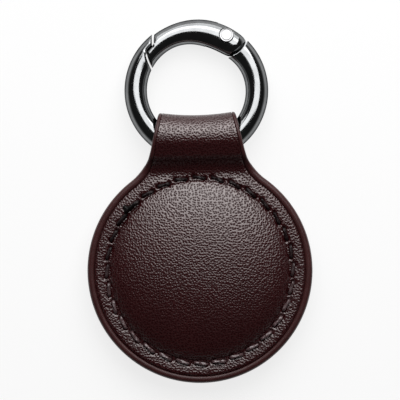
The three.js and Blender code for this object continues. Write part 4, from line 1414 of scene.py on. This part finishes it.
class FOB_OT_stage(Operator):
    """Set the floor, the light and the camera"""

    bl_idname = "fob.stage"
    bl_label = "Stage"

    FLOOR_HALF = 1.5
    FLOOR_DROP = 0.02 * MM

    def execute(self, context):
        scene = context.scene
        stage = scene.fob_stage
        self.lay_floor(scene)
        softbox = (stage.light_width, stage.light_length, stage.light_power)
        self.hang_light(scene, stage, "softbox", stage.light_lean, stage.light_swing, *softbox)
        panel = (stage.panel_width, stage.panel_length, stage.panel_power)
        self.hang_light(scene, stage, "far_panel", stage.panel_lean, 0.0, *panel)
        self.aim_camera(scene, stage)
        scene.world = studio_world()
        scene.view_settings.view_transform = "Standard"
        return {"FINISHED"}

    def lay_floor(self, scene):
        """Flat floor just under the back of the fob."""
        side = np.linspace(-self.FLOOR_HALF, self.FLOOR_HALF, 3)
        x, y = np.meshgrid(side, side, indexing="ij")
        shell = Shell()
        shell.quads(shell.add(np.stack([x, y, np.full(x.shape, -self.FLOOR_DROP)], axis=-1)))
        floor = bpy.data.objects.new("floor", shell.mesh("floor"))
        floor.data.materials.append(floor_finish(scene.fob_finishes.floor))
        scene.collection.objects.link(floor)

    def hang_light(self, scene, stage, name, lean, swing, width, length, power):
        """One softbox that leans from straight above towards the far side of the ring, swung to one side."""
        lamp = bpy.data.lights.new(name, "AREA")
        lamp.shape = "RECTANGLE"
        lamp.size = width
        lamp.size_y = length
        lamp.energy = power
        softbox = bpy.data.objects.new(name, lamp)
        softbox.visible_camera = False
        aim = Vector((0.0, stage.view_ahead, 0.0))
        turn = Matrix.Rotation(-swing, 4, "Z") @ Matrix.Rotation(-lean, 4, "X")
        out = Matrix.Translation((0, 0, stage.light_distance))
        softbox.matrix_world = Matrix.Translation(aim) @ turn @ out
        scene.collection.objects.link(softbox)

    def aim_camera(self, scene, stage):
        """Camera straight above, rolled as the picture is."""
        camera = bpy.data.cameras.new("camera")
        camera.sensor_width = 36.0
        camera.lens = camera.sensor_width * (stage.camera_height - MID_Z) / stage.view_width
        camera.clip_start = 0.01
        eye = bpy.data.objects.new("camera", camera)
        roll = stage.view_roll
        spot = (stage.view_ahead * np.sin(roll), stage.view_ahead * np.cos(roll), stage.camera_height)
        eye.matrix_world = Matrix.Translation(spot) @ Matrix.Rotation(-roll, 4, "Z")
        scene.collection.objects.link(eye)
        scene.camera = eye


class VIEW3D_PT_fob(Panel):
    """Key fob panel"""

    bl_label = "Key fob"
    bl_space_type = "VIEW_3D"
    bl_region_type = "UI"
    bl_category = "Key fob"

    def draw(self, context):
        for operator in OPERATORS:
            self.layout.operator(operator.bl_idname)
        for name in GROUPS:
            group = getattr(context.scene, name)
            for key in group.__annotations__:
                self.layout.prop(group, key)


OPERATORS = (
    FOB_OT_stage,
    FOB_OT_leather,
    FOB_OT_edge_bead,
    FOB_OT_stitching,
    FOB_OT_padding,
    FOB_OT_ring,
    FOB_OT_inside,
)
GROUPS = {
    "fob_leather": LeatherSizes,
    "fob_ring": RingSizes,
    "fob_finishes": Finishes,
    "fob_stage": StageSizes,
}


def register():
    """Registers the classes and hangs the size groups on the scene."""
    for item in (*GROUPS.values(), *OPERATORS, VIEW3D_PT_fob):
        bpy.utils.register_class(item)
    for name, group in GROUPS.items():
        setattr(bpy.types.Scene, name, PointerProperty(type=group))


def unregister():
    """Takes the size groups and classes away again."""
    for name in GROUPS:
        delattr(bpy.types.Scene, name)
    for item in reversed((*GROUPS.values(), *OPERATORS, VIEW3D_PT_fob)):
        bpy.utils.unregister_class(item)


def main():
    """Builds the stage and every piece."""
    register()
    bpy.ops.fob.stage()
    bpy.ops.fob.leather()
    bpy.ops.fob.edge_bead()
    bpy.ops.fob.stitching()
    bpy.ops.fob.padding()
    bpy.ops.fob.ring()
    bpy.ops.fob.inside()
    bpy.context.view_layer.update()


if __name__ == "__main__":
    main()
